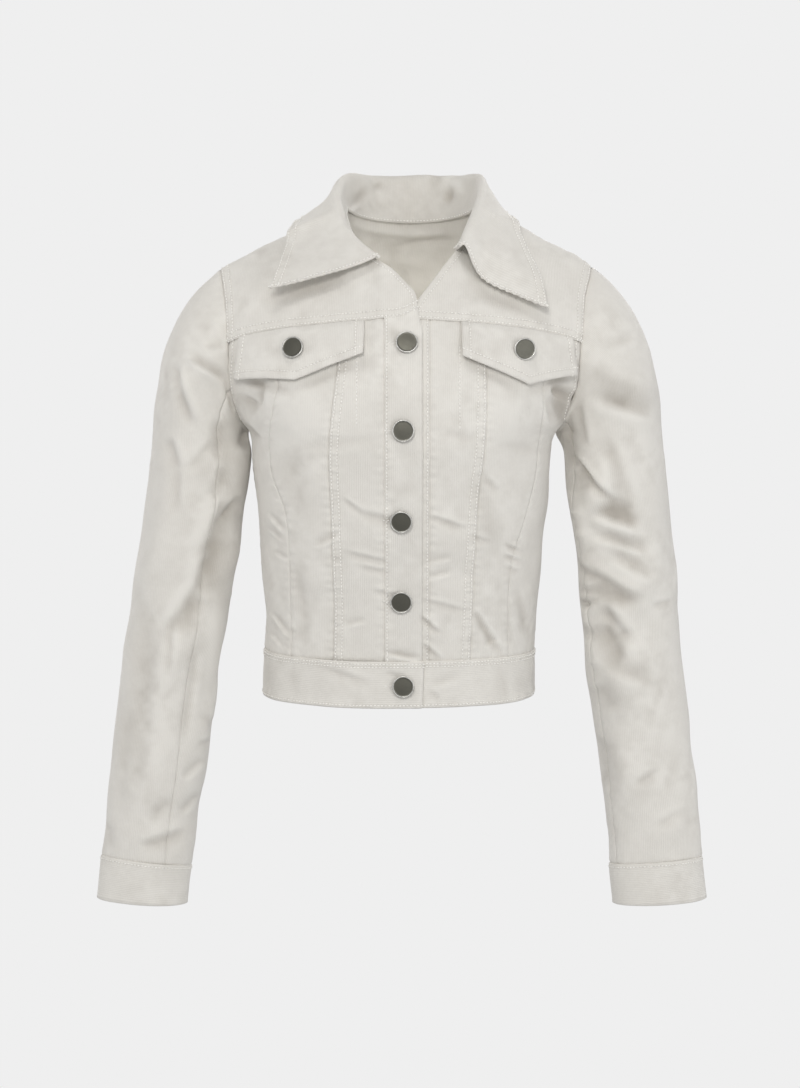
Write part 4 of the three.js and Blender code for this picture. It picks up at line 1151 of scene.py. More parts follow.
@dataclass
class TorsoPanel:
    """A panel of the torso between four seam lines."""

    name: str
    low: SeamLine
    high: SeamLine
    start: SeamLine
    end: SeamLine
    rows: int
    columns: int
    thickness: float = CLOTH
    lift: Callable[[Array, Array, Array, Array], Array] | None = None
    row_share: Callable[[Array], Array] | None = None
    grain: Callable[[Array], Array] | None = None
    seams: dict[Edge, Seam] = field(default_factory=dict)
    held: str = "draped"
    creases: Creases | None = None
    # The share of each crease's depth that is painted as shade in its valley and as light on its ridge.
    tone: float = 1.0

    CREASE_FACING = 3

    def cloth(self) -> Cloth:
        """Lays the panel on the form.

        Returns:
            The cloth with its folds and seams pressed in.
        """
        s, t = np.linspace(0, 1, self.columns + 1), np.linspace(0, 1, self.rows + 1)
        rows = self.row_share(t) if self.row_share else t
        grid = self.inset(coons(self.low, self.high, self.start, self.end, s, rows))
        turn, z = grid[..., 0], grid[..., 1]
        normals = FORM.normal(turn, z)
        points = FORM.point(turn, z)
        lift = self.lift(turn, z, t[:, None], s[None]) if self.lift else 0.0
        lift = np.broadcast_to(lift, turn.shape)
        points = points + normals * lift[..., None]
        base = self.grain(z) if self.grain else mix(turn[:, :1], turn[:, -1:], 0.5)
        across = FORM.girth(turn, z, base)
        piece = Cloth(self.name, points, normals, across, z, self.thickness, seams=self.seams, held=self.held)
        piece.press(FORM.sunk(turn, z))
        if self.creases:
            facing = smooth(np.abs(normals[..., 1]) * self.CREASE_FACING)
            # The creases are pressed in, and their depth is also painted as shade in the valleys and light on
            # the ridges.
            piece.press(self.creases.depth(points[..., 0], z) * facing, self.tone)
        piece.relief(own_seed(self.name))
        return piece

    @staticmethod
    def inset(grid: Array) -> Array:
        """Draws the outline in from its seams by half a seam gap."""

        def towards(a: Array, b: Array) -> Array:
            """Places moved from a towards b by the gap."""
            step = FORM.point(a[..., 0], a[..., 1]) - FORM.point(b[..., 0], b[..., 1])
            gap = np.linalg.norm(step, axis=-1)
            return mix(a, b, np.minimum(0.4, SEAM_GAP / 2 / np.maximum(gap, 1e-6))[..., None])

        grid[:, 0], grid[:, -1] = towards(grid[:, 0], grid[:, 1]), towards(grid[:, -1], grid[:, -2])
        grid[0], grid[-1] = towards(grid[0], grid[1]), towards(grid[-1], grid[-2])
        return grid


def along_yoke(start: SeamLine, end: SeamLine, height: Callable[[Array], Array] = yoke_z) -> SeamLine:
    """The part of the yoke seam between the tops of two lines."""
    first, last = start(np.array([1.0]))[0, 0], end(np.array([1.0]))[0, 0]
    return lambda s: places(mix(first, last, s), height(mix(first, last, s)))


def along_band(start: SeamLine, end: SeamLine) -> SeamLine:
    """The part of the waistband seam between the feet of two lines."""
    first, last = start(np.array([0.0]))[0, 0], end(np.array([0.0]))[0, 0]
    return lambda s: places(mix(first, last, s), BAND_TOP_Z)


def centre_front(z: Array) -> Array:
    """The angle of the centre front at each height."""
    return FORM.turn_at(0.0, z)


class Bodice:
    """The fronts, their bands, the yokes and the back."""

    def front(self, name: str, start: SeamLine, end: SeamLine, columns: int, **options: object) -> Cloth:
        """A front panel between two upright lines.

        Args:
            name: the name of the node that it stands for.
            start: its inner line.
            end: its outer line.
            columns: how many columns its grid has.
            **options: other fields of the panel.

        Returns:
            The cloth.
        """
        height = options.pop("height", yoke_z)
        lines = (along_band(start, end), along_yoke(start, end, height), start, end)
        return TorsoPanel(name, *lines, rows=280, columns=columns, creases=FRONT_CREASES, **options).cloth()

    def fronts(self, side: Side) -> Iterable[Cloth]:
        """The panels of one front.

        Args:
            side: the side of the garment.

        Yields:
            Each panel's cloth.
        """
        right = side is Side.RIGHT
        panel, outer_seam = seam_line(PANEL_SEAM[side], side), seam_line(SIDE_FRONT_SEAM[side], side)
        inner_x = -BAND_STITCH - BAND_EDGE - 0.1 if right else BUTTON_BAND_REACH
        inner = upright_line(inner_x, float(yoke_z(FORM.turn_at(inner_x, YOKE_MIDDLE_Z))))
        rise = {"lift": overlap_lift} if right else {}
        outer = side_line(side, 1, yoke_armhole_share(side))
        tops = {Edge.HIGH: UNDER, Edge.LOW: UNDER}
        seams = tops | {Edge.START: UNDER, Edge.END: LAPPED}
        yield self.front(
            f"{side.word}_front_centre", inner, panel, 24, grain=centre_front, seams=seams, **rise
        )
        seams = tops | {Edge.START: UNDER, Edge.END: PLAIN}
        yield self.front(f"{side.word}_front_middle", panel, outer_seam, 26, grain=centre_front, seams=seams)
        seams = tops | {Edge.START: PLAIN, Edge.END: Seam(rows=(7.4,), above=UNDERARM_Z + 12, pucker=0.22)}
        yield self.front(f"{side.word}_front_side", outer_seam, outer, 34, seams=seams)

    def bands(self) -> Iterable[Cloth]:
        """The button band and the buttonhole band over it.

        Yields:
            Each band's cloth.
        """
        top = float(yoke_z(0.0))
        seams = {Edge.START: FREE, Edge.END: Seam(dip=0.1, rows=(1.4,)), Edge.HIGH: UNDER, Edge.LOW: UNDER}
        start, end = upright_line(-BAND_STITCH, top), upright_line(BUTTON_BAND_REACH, top)
        yield self.front("button_band", start, end, 20, grain=centre_front, seams=seams)
        seams = {Edge.START: Seam(dip=0.1, rows=(1.6,)), Edge.END: Seam(dip=0.2, pucker=0.1), Edge.LOW: UNDER}
        yield self.front(
            "buttonhole_band",
            upright_line(-BAND_STITCH - BAND_EDGE, top),
            overlap_edge,
            20,
            grain=centre_front,
            height=lifted_yoke_z,
            thickness=DOUBLE,
            lift=overlap_lift,
            seams=seams,
        )

    def yoke(self, side: Side) -> Cloth:
        """The yoke of one front, up to the shoulder seam."""
        right = side is Side.RIGHT
        share = yoke_armhole_share(side)
        inner = neck_line(side)
        first = inner(np.array([0.0]))[0, 0]
        last = armhole(side, 1, share)[0]
        height = lifted_yoke_z if right else yoke_z
        panel = TorsoPanel(
            f"{side.word}_yoke",
            low=lambda s: places(mix(first, last, s), height(mix(first, last, s))),
            high=shoulder_line(side, 1),
            start=inner,
            end=lambda t: armhole(side, 1, mix(share, 0, t)),
            rows=60,
            columns=80,
            row_share=lambda t: np.sin(t * np.pi / 2),
            lift=overlap_lift if right else None,
            grain=centre_front,
            seams={Edge.LOW: LAPPED, Edge.END: LAPPED, Edge.HIGH: QUIET, Edge.START: V_EDGE[side]},
            creases=FRONT_CREASES,
        )
        return panel.cloth()

    def back(self) -> Cloth:
        """The whole back, from the waistband to the shoulders and the neck."""
        right, left = side_line(Side.RIGHT, -1, 0), side_line(Side.LEFT, -1, 0)
        neck_share = 0.31
        round_once = np.array([ONCE_ROUND, 0.0])

        def top(s: Array) -> Array:
            """The shoulder seams and the back of the neck, by share across."""
            from_neck, to_neck = shoulder_line(Side.LEFT, -1), shoulder_line(Side.RIGHT, -1)
            first, last = from_neck(np.array([0.0]))[0], to_neck(np.array([0.0]))[0] + round_once
            share = np.clip((s - neck_share) / (1 - 2 * neck_share), 0, 1)
            neck = mix(first, last, share[:, None])
            neck[:, 1] -= BACK_NECK_DIP * np.abs(np.sin(share * np.pi)) ** 0.6
            one = from_neck(np.clip(1 - s / neck_share, 0, 1))
            other = to_neck(np.clip((s - 1 + neck_share) / neck_share, 0, 1)) + round_once
            past_neck = np.where((s > 1 - neck_share)[:, None], other, neck)
            return np.where((s < neck_share)[:, None], one, past_neck)

        panel = TorsoPanel(
            "back",
            low=lambda s: places(mix(90, 270, s), BAND_TOP_Z),
            high=top,
            start=left,
            end=lambda t: right(t) + round_once,
            rows=168,
            columns=150,
            row_share=lambda t: np.sin(t * np.pi / 2) ** 0.9,
            grain=lambda z: np.full_like(z, 180.0),
            seams={Edge.START: PLAIN, Edge.END: PLAIN, Edge.LOW: UNDER, Edge.HIGH: QUIET},
            creases=BACK_CREASES,
            tone=0.35,
        )
        return panel.cloth()

    def waistband(self) -> Cloth:
        """The strip round the hem, from the under end at the centre front to the upper one."""
        first = float(FORM.turn_at(FORM.middle(HEM_Z) - 12, HEM_Z))
        last = float(FORM.turn_at(OVERLAP, HEM_Z)) + ONCE_ROUND
        edge = Seam(dip=-0.05, lap=0.2, reach=4, rows=(2.2,), pucker=0.36, ripple=0.1)
        top_edge = Seam(dip=0.15, lap=0.2, reach=5, rows=(1.6, 4.4), pucker=0.36)
        panel = TorsoPanel(
            "waistband",
            low=lambda s: places(mix(first, last, s), HEM_Z),
            high=lambda s: places(mix(first, last, s), BAND_TOP_Z),
            start=lambda t: places(first, mix(HEM_Z, BAND_TOP_Z, t)),
            end=lambda t: places(last, mix(HEM_Z, BAND_TOP_Z, t)),
            rows=22,
            columns=330,
            thickness=DOUBLE,
            lift=lambda turn, z, t, s: mix(0.2, PLACKET_LIFT + WAISTBAND_LIFT, smooth((turn - 318) / 26)),
            grain=lambda z: np.full_like(z, 180.0),
            seams={Edge.LOW: edge, Edge.HIGH: top_edge},
            creases=BAND_CREASES,
        )
        piece = panel.cloth()
        piece.across, piece.along = piece.along, piece.across
        return piece

    def flap(self, side: Side) -> Cloth:
        """A pocket flap hung from the yoke seam, its lower edge standing off the front."""
        size = FLAPS[side]

        def deep_at(out: Array) -> Array:
            """How deep the flap is at a distance out."""
            inner = mix(size.inner_deep, size.point_deep, (out - size.inner) / (size.point - size.inner))
            outer = mix(size.point_deep, size.outer_deep, (out - size.point) / (size.outer - size.point))
            return np.where(out < size.point, inner, outer)

        def place(s: Array, t: Array) -> Array:
            """Angle and height at a share across and a share up."""
            s, t = np.broadcast_arrays(np.asarray(s, float), np.asarray(t, float))
            inner, outer = mix(size.inner, size.point, s * 2), mix(size.point, size.outer, s * 2 - 1)
            out = np.where(s < 0.5, inner, outer)
            z = yoke_z(turn_out(out, side, YOKE_MIDDLE_Z - 10)) - 1 - deep_at(out) * (1 - t)
            return places(turn_out(out, side, z), z)

        def stand_off(turn: Array, z: Array, t: Array, s: Array) -> Array:
            """How far the flap lies off the front: more towards its hem and away from its low point."""
            point_share = (size.point - size.inner) / (size.outer - size.inner)
            curl = size.stand * (1 - t) ** FLAP_CURL * (0.5 + np.abs(s - point_share))
            return PLACKET_LIFT + curl - FLAP_TUCK * smooth((t - FLAP_TUCK_FROM) / (1 - FLAP_TUCK_FROM))

        hem = Seam(dip=-0.1, lap=0.25, reach=7.5, rows=(6.8,), pucker=0.12)
        panel = TorsoPanel(
            f"{side.word}_pocket_flap",
            low=lambda s: place(s, 0),
            high=lambda s: place(s, 1),
            start=lambda t: place(0, t),
            end=lambda t: place(1, t),
            rows=26,
            columns=56,
            thickness=DOUBLE,
            lift=stand_off,
            grain=centre_front,
            seams={Edge.LOW: hem, Edge.START: hem, Edge.END: hem},
        )
        return panel.cloth()


@dataclass(frozen=True)
class FlapSize:
    """How far out a flap's ends and low point lie, how deep it is there, and how far it stands off."""

    inner: float
    point: float
    outer: float
    inner_deep: float
    point_deep: float
    outer_deep: float
    stand: float = 5.0


FLAPS = {
    Side.RIGHT: FlapSize(36, 95, 148, 30, 47, 37),
    Side.LEFT: FlapSize(50, 109, 151, 32, 49, 32),
}


@dataclass
class Sleeve:
    """One sleeve: its upper and under piece and its cuff."""

    side: Side
    sections: Table
    folds: Creases
    creases: Creases
    front_seam: float
    back_seam: float = 246.0
    head_share: float = 0.36
    head_start: float = 0.001
    underarm_gap: float = 0.6
    allowance: float = 3.0
    under: float = 1.7
    radius: float = 48.0
    rows: int = 250
    cuff_rows: int = 18
    cuff_columns: int = 150
    cuff_radius: float = 37.0
    crease_tone: float = 0.8
    cuff_top: float = -608.0
    cuff_hem: float = -645.0

    def centre(self, z: Array) -> Array:
        """The middle of a section."""
        return places(self.side.value * self.sections.at(z, "out"), self.sections.at(z, "y"), z)

    def frame(self, z: Array) -> tuple[Array, Array, Array]:
        """The downward, outward and forward directions of a section."""
        down = unit(self.centre(z - 4) - self.centre(z + 4))
        outward = np.array([float(self.side.value), 0, 0]) * np.ones_like(down)
        outward = unit(outward - down * dot(outward, down))
        forward = np.array([0, -1.0, 0]) * np.ones_like(down)
        return down, outward, unit(forward - down * dot(forward, down))

    def ring(self, angle: Array, z: Array) -> Array:
        """A place on a section, at an angle round it."""
        angle, z = np.broadcast_arrays(np.asarray(angle, float), np.asarray(z, float))
        _, outward, forward = self.frame(z)
        wide = (self.sections.at(z, "half_width") * np.cos(np.radians(angle)))[..., None]
        deep = (self.sections.at(z, "half_depth") * np.sin(np.radians(angle)))[..., None]
        return self.centre(z) + outward * wide + forward * deep

    def head(self, angle: Array, share: Array) -> Array:
        """A place between the armhole and the first full section."""
        wave, swing = np.cos(np.radians(angle)), np.sin(np.radians(angle))
        turned = np.mod(angle, 360)
        front, back = armhole(self.side, 1, turned / 180), armhole(self.side, -1, (360 - turned) / 180)
        seat = np.where((turned <= 180)[..., None], front, back)
        sign = self.side.value
        start = FORM.point(seat[..., 0], seat[..., 1])
        start[..., 0] += sign * mix(0.2, self.underarm_gap, ((1 - wave) / 2) ** 2)
        top = self.sections.keys[-1]
        end = self.ring(angle, np.full_like(wave, top))
        leave = unit(
            places(
                sign * (0.5 + 0.32 * wave + 0.35 * swing**2),
                -0.35 * swing,
                -(0.79 - 0.19 * wave - 0.4 * swing**2),
            )
        )
        length = np.linalg.norm(start - end, axis=-1, keepdims=True)
        down = self.frame(np.full_like(wave, top))[0]
        one, two = start + leave * 0.37 * length, end - down * 0.4 * length
        t = share[..., None]
        return (1 - t) ** 3 * start + 3 * (1 - t) ** 2 * t * one + 3 * (1 - t) * t**2 * two + t**3 * end

    def point(self, angle: Array, share: Array) -> Array:
        """A place on the sleeve: share 0 at the armhole, head_share at the first section, 1 at the cuff."""
        angle, share = np.broadcast_arrays(np.asarray(angle, float), np.asarray(share, float))
        first = self.head_start * (1 + np.cos(np.radians(angle)) ** 2)
        head = self.head(angle, mix(first, 1.0, np.clip(share / self.head_share, 0, 1)))
        down = np.clip((share - self.head_share) / (1 - self.head_share), 0, 1)
        ring = self.ring(angle, mix(self.sections.keys[-1], self.cuff_top + SEAM_GAP / 2, down))
        return np.where((share < self.head_share)[..., None], head, ring)

    def normal(self, angle: Array, share: Array) -> Array:
        """The outward direction at a place on the sleeve."""
        low, high = np.maximum(share - 0.012, 0), np.minimum(share + 0.012, 1)
        down = self.point(angle, high) - self.point(angle, low)
        round_it = self.point(angle + 1.5, share) - self.point(angle - 1.5, share)
        return unit(np.cross(round_it, down)) * self.side.value

    def piece(self, name: str, first: float, last: float, columns: int, seams: dict[Edge, Seam]) -> Cloth:
        """A piece of the sleeve between two of its seams.

        Args:
            name: the name of the node that it stands for.
            first: the angle of its first seam.
            last: the angle of its last seam.
            columns: how many columns its grid has.
            seams: how its edges are sewn.

        Returns:
            The cloth with its folds pressed in.
        """
        downward, round_it = np.linspace(0, 1, self.rows + 1), np.linspace(first, last, columns + 1)
        share, angle = np.meshgrid(downward, round_it, indexing="ij")
        points, normals = self.point(angle, share), self.normal(angle, share)
        for end, inside in ((0, 1), (-1, -2)):
            gap = np.linalg.norm(points[:, end] - points[:, inside], axis=-1)
            move = np.minimum(0.4, SEAM_GAP / 2 / gap)[:, None]
            points[:, end] = mix(points[:, end], points[:, inside], move)
        steps = np.linalg.norm(np.diff(points, axis=1), axis=-1)
        across = np.concatenate([np.zeros((len(points), 1)), np.cumsum(steps, axis=1)], axis=1)
        across = across - across[:, -1:] / 2
        downs = np.linalg.norm(np.diff(points[:, columns // 2], axis=0), axis=-1)
        along = np.concatenate([[0], np.cumsum(downs)])[:, None] * np.ones_like(across)
        piece = Cloth(name, points, normals, across, along, CLOTH, seams=seams)
        near = smooth(share * 26 / 3) * smooth((1 - share) * 26 / 2)
        sunk = self.folds.depth(np.radians(angle) * self.radius, points[..., 2], self.radius)
        facing = smooth(-normals[..., 1] * 3) * smooth(share * 40) * smooth((1 - share) * 30)
        piece.press(-near * sunk)
        # The creases are pressed in, and their depth is also painted as shade in the valleys and light on the
        # ridges.
        piece.press(self.creases.depth(points[..., 0], points[..., 2]) * facing, self.crease_tone)
        piece.relief(own_seed(name))
        tuck = unit(piece.points[1] - piece.points[5])
        piece.points[0] = piece.points[1] + tuck * self.allowance - piece.normals[0] * self.under
        return piece

    def pieces(self) -> Iterable[Cloth]:
        """The upper piece, the under piece and the cuff.

        Yields:
            Each one's cloth.
        """
        word = self.side.word
        head = {Edge.LOW: Seam(dip=0.2, pucker=0.36), Edge.HIGH: UNDER}
        seams = head | {Edge.START: PLAIN, Edge.END: PLAIN}
        yield self.piece(f"{word}_upper_sleeve", self.back_seam - ONCE_ROUND, self.front_seam, 84, seams)
        yield self.piece(f"{word}_under_sleeve", self.front_seam, self.back_seam, 48, seams)
        yield self.cuff()

    def cuff(self) -> Cloth:
        """The doubled band at the end of the sleeve."""
        heights = np.linspace(self.cuff_top - SEAM_GAP / 2, self.cuff_hem, self.cuff_rows + 1)
        angles = np.arange(self.cuff_columns) * 360 / self.cuff_columns
        z, angle = np.meshgrid(heights, angles, indexing="ij")
        _, outward, forward = self.frame(z)
        wide, deep = self.sections.at(z, "half_width"), self.sections.at(z, "half_depth")
        swing, wave = np.sin(np.radians(angle)), np.cos(np.radians(angle))
        normals = unit(outward * (wave / wide)[..., None] + forward * (swing / deep)[..., None])
        points = self.ring(angle, z) + normals * 0.5
        across = np.concatenate([z, z[:, :1]], axis=1)
        along = np.radians(np.concatenate([angle, angle[:, :1] + 360], axis=1)) * self.cuff_radius
        seams = {Edge.LOW: Seam(dip=0.1, lap=0.15, reach=3.5, rows=(2.4,), pucker=0.16), Edge.HIGH: FREE}
        piece = Cloth(f"{self.side.word}_cuff", points, normals, across, along, DOUBLE, True, seams)
        piece.area += float(np.linalg.norm(points[:, 0] - points[:, -1], axis=-1).mean() * piece.length)
        piece.press(-self.hem_wave(points))
        piece.relief(5)
        return piece

    @staticmethod
    def hem_wave(points: Array) -> Array:
        """A slow wave round the cuff."""
        return 0.8 * np.sin(points[..., 0] * 0.09 + points[..., 1] * 0.06)


SLEEVES = (
    Sleeve(
        Side.RIGHT,
        Table(
            "z out y half_width half_depth",
            [
                (-226, 189, 2, 45.5, 54),
                (-279, 195.7, 4, 45.5, 53),
                (-326, 203.5, 4, 45, 51),
                (-370, 210, 2, 45.5, 48),
                (-422, 219, -2, 44, 44),
                (-468, 224.5, -6, 43.5, 41),
                (-512, 230, -10, 43.5, 38),
                (-556, 235.5, -15, 42, 35),
                (-614, 242.5, -22, 41.5, 31),
                (-646, 246, -26, 42, 30),
            ],
        ),
        Creases(
            CREASE_COLUMNS,
            [
                (82, -150, 26, 120, 13.5, 6),
                (128, -170, -28, 70, 13.5, 5),
                (60, -300, 6, 190, 16.2, 4),
                (150, -330, 40, 90, 16.2, 5),
                (100, -405, 24, 100, 17.6, 5),
                (160, -470, 30, 90, 14.9, 4),
                (88, -520, 2, 150, 16.2, 3.4),
                (70, -585, 70, 60, 13.5, 3.2),
                (262, -330, -30, 120, 16.2, 5),
                (290, -400, 24, 110, 16.2, 5),
                (268, -500, -18, 120, 16.2, 4),
            ],
        ),
        RIGHT_SLEEVE_CREASES,
        front_seam=118,
    ),
    Sleeve(
        Side.LEFT,
        Table(
            "z out y half_width half_depth",
            [
                (-226, 197, 2, 46, 54),
                (-279, 203.5, 4, 46, 53),
                (-326, 209.8, 4, 45.5, 51),
                (-370, 213.5, 2, 45, 48),
                (-422, 217.5, -2, 44.5, 44),
                (-468, 223.5, -6, 44, 41),
                (-512, 229, -10, 43.5, 38),
                (-556, 234.5, -15, 43.5, 35),
                (-614, 239, -22, 43, 31),
                (-646, 242, -26, 43.5, 30),
            ],
        ),
        Creases(
            CREASE_COLUMNS,
            [
                (60, -160, 66, 80, 14.9, 5),
                (118, -262, -34, 110, 14.9, 7),
                (84, -345, -48, 96, 16.2, 6),
                (140, -330, -30, 110, 14.9, 5),
                (108, -430, -26, 110, 17.6, 6),
                (120, -520, -12, 110, 16.2, 4),
                (70, -575, -58, 64, 13.5, 3.4),
                (262, -320, 30, 120, 16.2, 5),
                (290, -420, -24, 110, 16.2, 5),
                (268, -520, 18, 120, 16.2, 4),
            ],
        ),
        LEFT_SLEEVE_CREASES,
        front_seam=152,
    ),
)


@dataclass
class Collar:
    """The turned collar, from one front end round the neck to the other."""

    rows: int = 300
    columns: int = 104
    clear: float = 2.7
    crest_clear: float = 1.2
    slack: float = 1.2
    starts: float = 0.56
    scallop: float = 2.4
    scallop_curl: float = 1.1
    scallop_pitch: float = 6.6
    scallop_reach: float = 2.6
    scallop_from: float = 40.0
    shade: float = 0.9
    sections = Table(
        "along roll_x roll_y roll_z edge_x edge_y edge_z reach sag",
        [
            (-1, -24, -77, -44.5, -120, -74, -74, 3, 2),
            (-0.9, -39.5, -62, -32.5, -114, -62, -58, 3.5, 2),
            (-0.76, -56, -37, -12, -107, -38, -33, 4, 3),
            (-0.68, -60, -24, 3, -103, -20, -17.5, 4.3, 3.5),
            (-0.6, -62.5, -9, 17, -98, 0, -11, 4.5, 3),
            (-0.42, -53, 24, 33, -82, 48, -27, 4.5, 3),
            (-0.22, -28, 53, 33, -42, 84, -27, 4.5, 1),
            (0, 8.6, 63, 34, 8.6, 93, -24, 4.5, 0),
            (0.22, 46, 53, 33, 60, 84, -27, 4.5, 1),
            (0.42, 71.5, 24, 32.5, 91, 46, -26, 4.5, -3),
            (0.5, 73.5, 9, 27, 95.5, 27, -18.5, 4.5, -3),
            (0.56, 73.8, -3.5, 22, 98, 12, -11, 4.5, -3),
            (0.62, 72.5, -16, 15, 101, -5, -9, 4.5, -3),
            (0.69, 69.8, -28.5, 5.5, 106, -21, -20, 4.3, -1),
            (0.78, 65.5, -44, -7, 115.5, -41, -43, 4, 2),
            (0.9, 58, -62, -22, 125.5, -63, -67, 3.5, 9),
            (1, 54, -73, -34, 129.5, -79, -90, 2.6, 17),
        ],
    )
    dents = Creases(
        CREASE_COLUMNS,
        [
            (45, 14, 20, 22, 4, 2.2),
            (52, 22, -30, 26, 5, -1.4),
            (-41, 12, 35, 34, 5, 1.8),
            (-24, 24, 70, 20, 3, 1.2),
            (-46, 2, 50, 26, 3, -1.2),
        ],
        strength=1.7,
    )

    def neckline(self, side: Side, share: Array) -> tuple[Array, Array]:
        """The seam of the collar from the centre back to its front end.

        Args:
            side: the side of the garment.
            share: shares of the way.

        Returns:
            Places on the neckline and the outward directions there.
        """
        turned, neck_z = shoulder_line(side, -1)(np.array([0.0]))[0]
        part = np.clip(share / 0.5, 0, 1)
        back_turn = mix(side.value * 180.0, turned, part)
        back_z = neck_z - BACK_NECK_DIP * np.abs(np.cos(part * np.pi / 2)) ** 0.6
        front = neck_line(side)(mix(1.0, self.starts, np.clip((share - 0.5) / 0.5, 0, 1)))
        at_back = share <= 0.5
        turn, z = np.where(at_back, back_turn, front[:, 0]), np.where(at_back, back_z, front[:, 1])
        normal = FORM.normal(turn, z)
        lift = overlap_lift(turn, z) if side is Side.RIGHT else np.zeros_like(z)
        lift = lift - FORM.sunk(turn, z)
        seam = FORM.point(turn, z) + normal * np.where(at_back, 0.0, lift)[:, None]
        return seam, normal

    def clear_of_body(self, points: Array, clearance: Array) -> Array:
        """Moves places out until they stay clear of the shoulders and yokes."""
        moved = points.copy()
        for _ in range(4):
            middle = FORM.middle(np.clip(moved[..., 2], -460, 20))
            out = moved[..., 0] - middle
            z = np.minimum(moved[..., 2], FORM.shoulder_z(out) - 0.5)
            turn = FORM.turn_at(moved[..., 0], z)
            facing = np.where(moved[..., 1] < 0, turn, np.where(out < 0, -1, 1) * 180 - turn)
            normal = FORM.normal(facing, z)
            height = dot(moved - FORM.point(facing, z), normal)[..., 0]
            moved = moved + normal * np.maximum(clearance - height, 0)[..., None]
        return moved

    def middle_surface(self, place: Array) -> Array:
        """The grid of the middle surface, from the seam to the free edge.

        Args:
            place: places along the neck, -1 at the right front and 1 at the left.

        Returns:
            The grid, one row for each place.
        """
        roll = places(*[self.sections.at(place, f"roll_{axis}") for axis in "xyz"])
        edge = places(*[self.sections.at(place, f"edge_{axis}") for axis in "xyz"])
        reach, sag = self.sections.at(place, "reach")[:, None], self.sections.at(place, "sag")[:, None]
        share, on_right = np.abs(place), (place < 0)[:, None]
        right, left = self.neckline(Side.RIGHT, share), self.neckline(Side.LEFT, share)
        seam, normal = np.where(on_right, right[0], left[0]), np.where(on_right, right[1], left[1])
        drop = np.array([0.0, 0.0, -1.0])
        outward = unit((edge - roll) * np.array([1.0, 1.0, 0.0]))
        at_front = smooth((share - 0.42) / 0.3)[:, None]
        up = unit(mix(unit(roll - seam), normal, at_front))
        first = seam + up * mix(-0.8, 3, at_front) + outward * mix(-2.4, -0.8, at_front)
        shoulder = roll + outward * reach * 0.75 + drop * reach * 0.5
        inside = roll - outward * reach * 0.75 + drop * reach * 0.5
        fall = mix(shoulder, edge, 0.18) + drop * sag
        hang = mix(shoulder, edge, 0.6) + drop * sag * 0.6
        ring = np.stack([first, mix(first, inside, 0.5), inside, roll, shoulder, fall, hang, edge], axis=1)
        t = np.linspace(0, 1, self.columns + 1)
        points = self.curve(ring, t)
        clearance = self.clear + self.crest_clear * (1 - smooth(np.abs(points[..., 1]) / 25))
        moved = (self.clear_of_body(points, clearance) - points) * smooth((t - 0.5) / 0.14)[None, :, None]
        for _ in range(14):
            moved[1:-1] = (moved[:-2] + 2 * moved[1:-1] + moved[2:]) / 4
            moved[:, 1:-1] = (moved[:, :-2] + 2 * moved[:, 1:-1] + moved[:, 2:]) / 4
        points = points + moved
        past_roll = smooth((t - 0.56) / 0.1)[None, :, None]
        tight = (self.clear_of_body(points, clearance - self.slack) - points) * past_roll
        for _ in range(3):
            tight[1:-1] = (tight[:-2] + 2 * tight[1:-1] + tight[2:]) / 4
        return points + tight

    @staticmethod
    def curve(knots: Array, t: Array) -> Array:
        """Smooth curves through rows of knots, evened by the distance between them.

        Args:
            knots: one row of knots for each curve.
            t: shares of the way along.

        Returns:
            The places, one row for each curve.
        """
        ends = (2 * knots[:, :1] - knots[:, 1:2], knots, 2 * knots[:, -1:] - knots[:, -2:-1])
        full = np.concatenate(ends, axis=1)
        spans = knots.shape[1] - 1
        place = t * spans
        i = np.minimum(place.astype(int), spans - 1)
        w = (place - i)[None, :, None]
        p0, p1, p2, p3 = (full[:, i + k] for k in range(4))

        def gap(a: Array, b: Array) -> Array:
            """The step of the curve's measure between two knots."""
            return np.maximum(np.sum((a - b) ** 2, axis=-1, keepdims=True) ** 0.25, 1e-4)

        d0, d1, d2 = gap(p0, p1), gap(p1, p2), gap(p2, p3)
        m1 = ((p1 - p0) / d0 - (p2 - p0) / (d0 + d1) + (p2 - p1) / d1) * d1
        m2 = ((p2 - p1) / d1 - (p3 - p1) / (d1 + d2) + (p3 - p2) / d2) * d1
        c2, c3 = -3 * p1 + 3 * p2 - 2 * m1 - m2, 2 * p1 - 2 * p2 + m1 + m2
        return p1 + m1 * w + c2 * w**2 + c3 * w**3

    def cloth(self) -> Cloth:
        """The whole collar with its scalloped edge.

        Returns:
            The cloth.
        """
        points = self.middle_surface(np.linspace(-1, 1, self.rows + 1))
        up = np.gradient(points, axis=0)
        normals = unit(np.cross(up, np.gradient(points, axis=1)))
        steps = np.linalg.norm(np.diff(points, axis=1), axis=-1)
        along = np.concatenate([np.zeros((len(points), 1)), np.cumsum(steps, axis=1)], axis=1)
        middle = self.columns // 2
        run = np.concatenate([[0], np.cumsum(np.linalg.norm(np.diff(points[:, middle], axis=0), axis=-1))])
        across = (run - run[-1] / 2)[:, None] * np.ones_like(along)
        edge = Seam(dip=-0.1, lap=0.3, reach=3, rows=(1.4,), pucker=0.16)
        seams = {
            Edge.END: Seam(dip=-0.1, lap=0.3, reach=9, rows=(1.6, 8.0)),
            Edge.LOW: edge,
            Edge.HIGH: edge,
            Edge.START: Seam(dip=-0.2, lap=0.4, reach=3.0, rows=(1.5,), pucker=0.1),
        }
        piece = Cloth("collar", points, normals, across, along, DOUBLE, seams=seams)
        stand = smooth((0.42 - np.linspace(0, 1, self.columns + 1)) / 0.08) * smooth(points[..., 1] / 20)
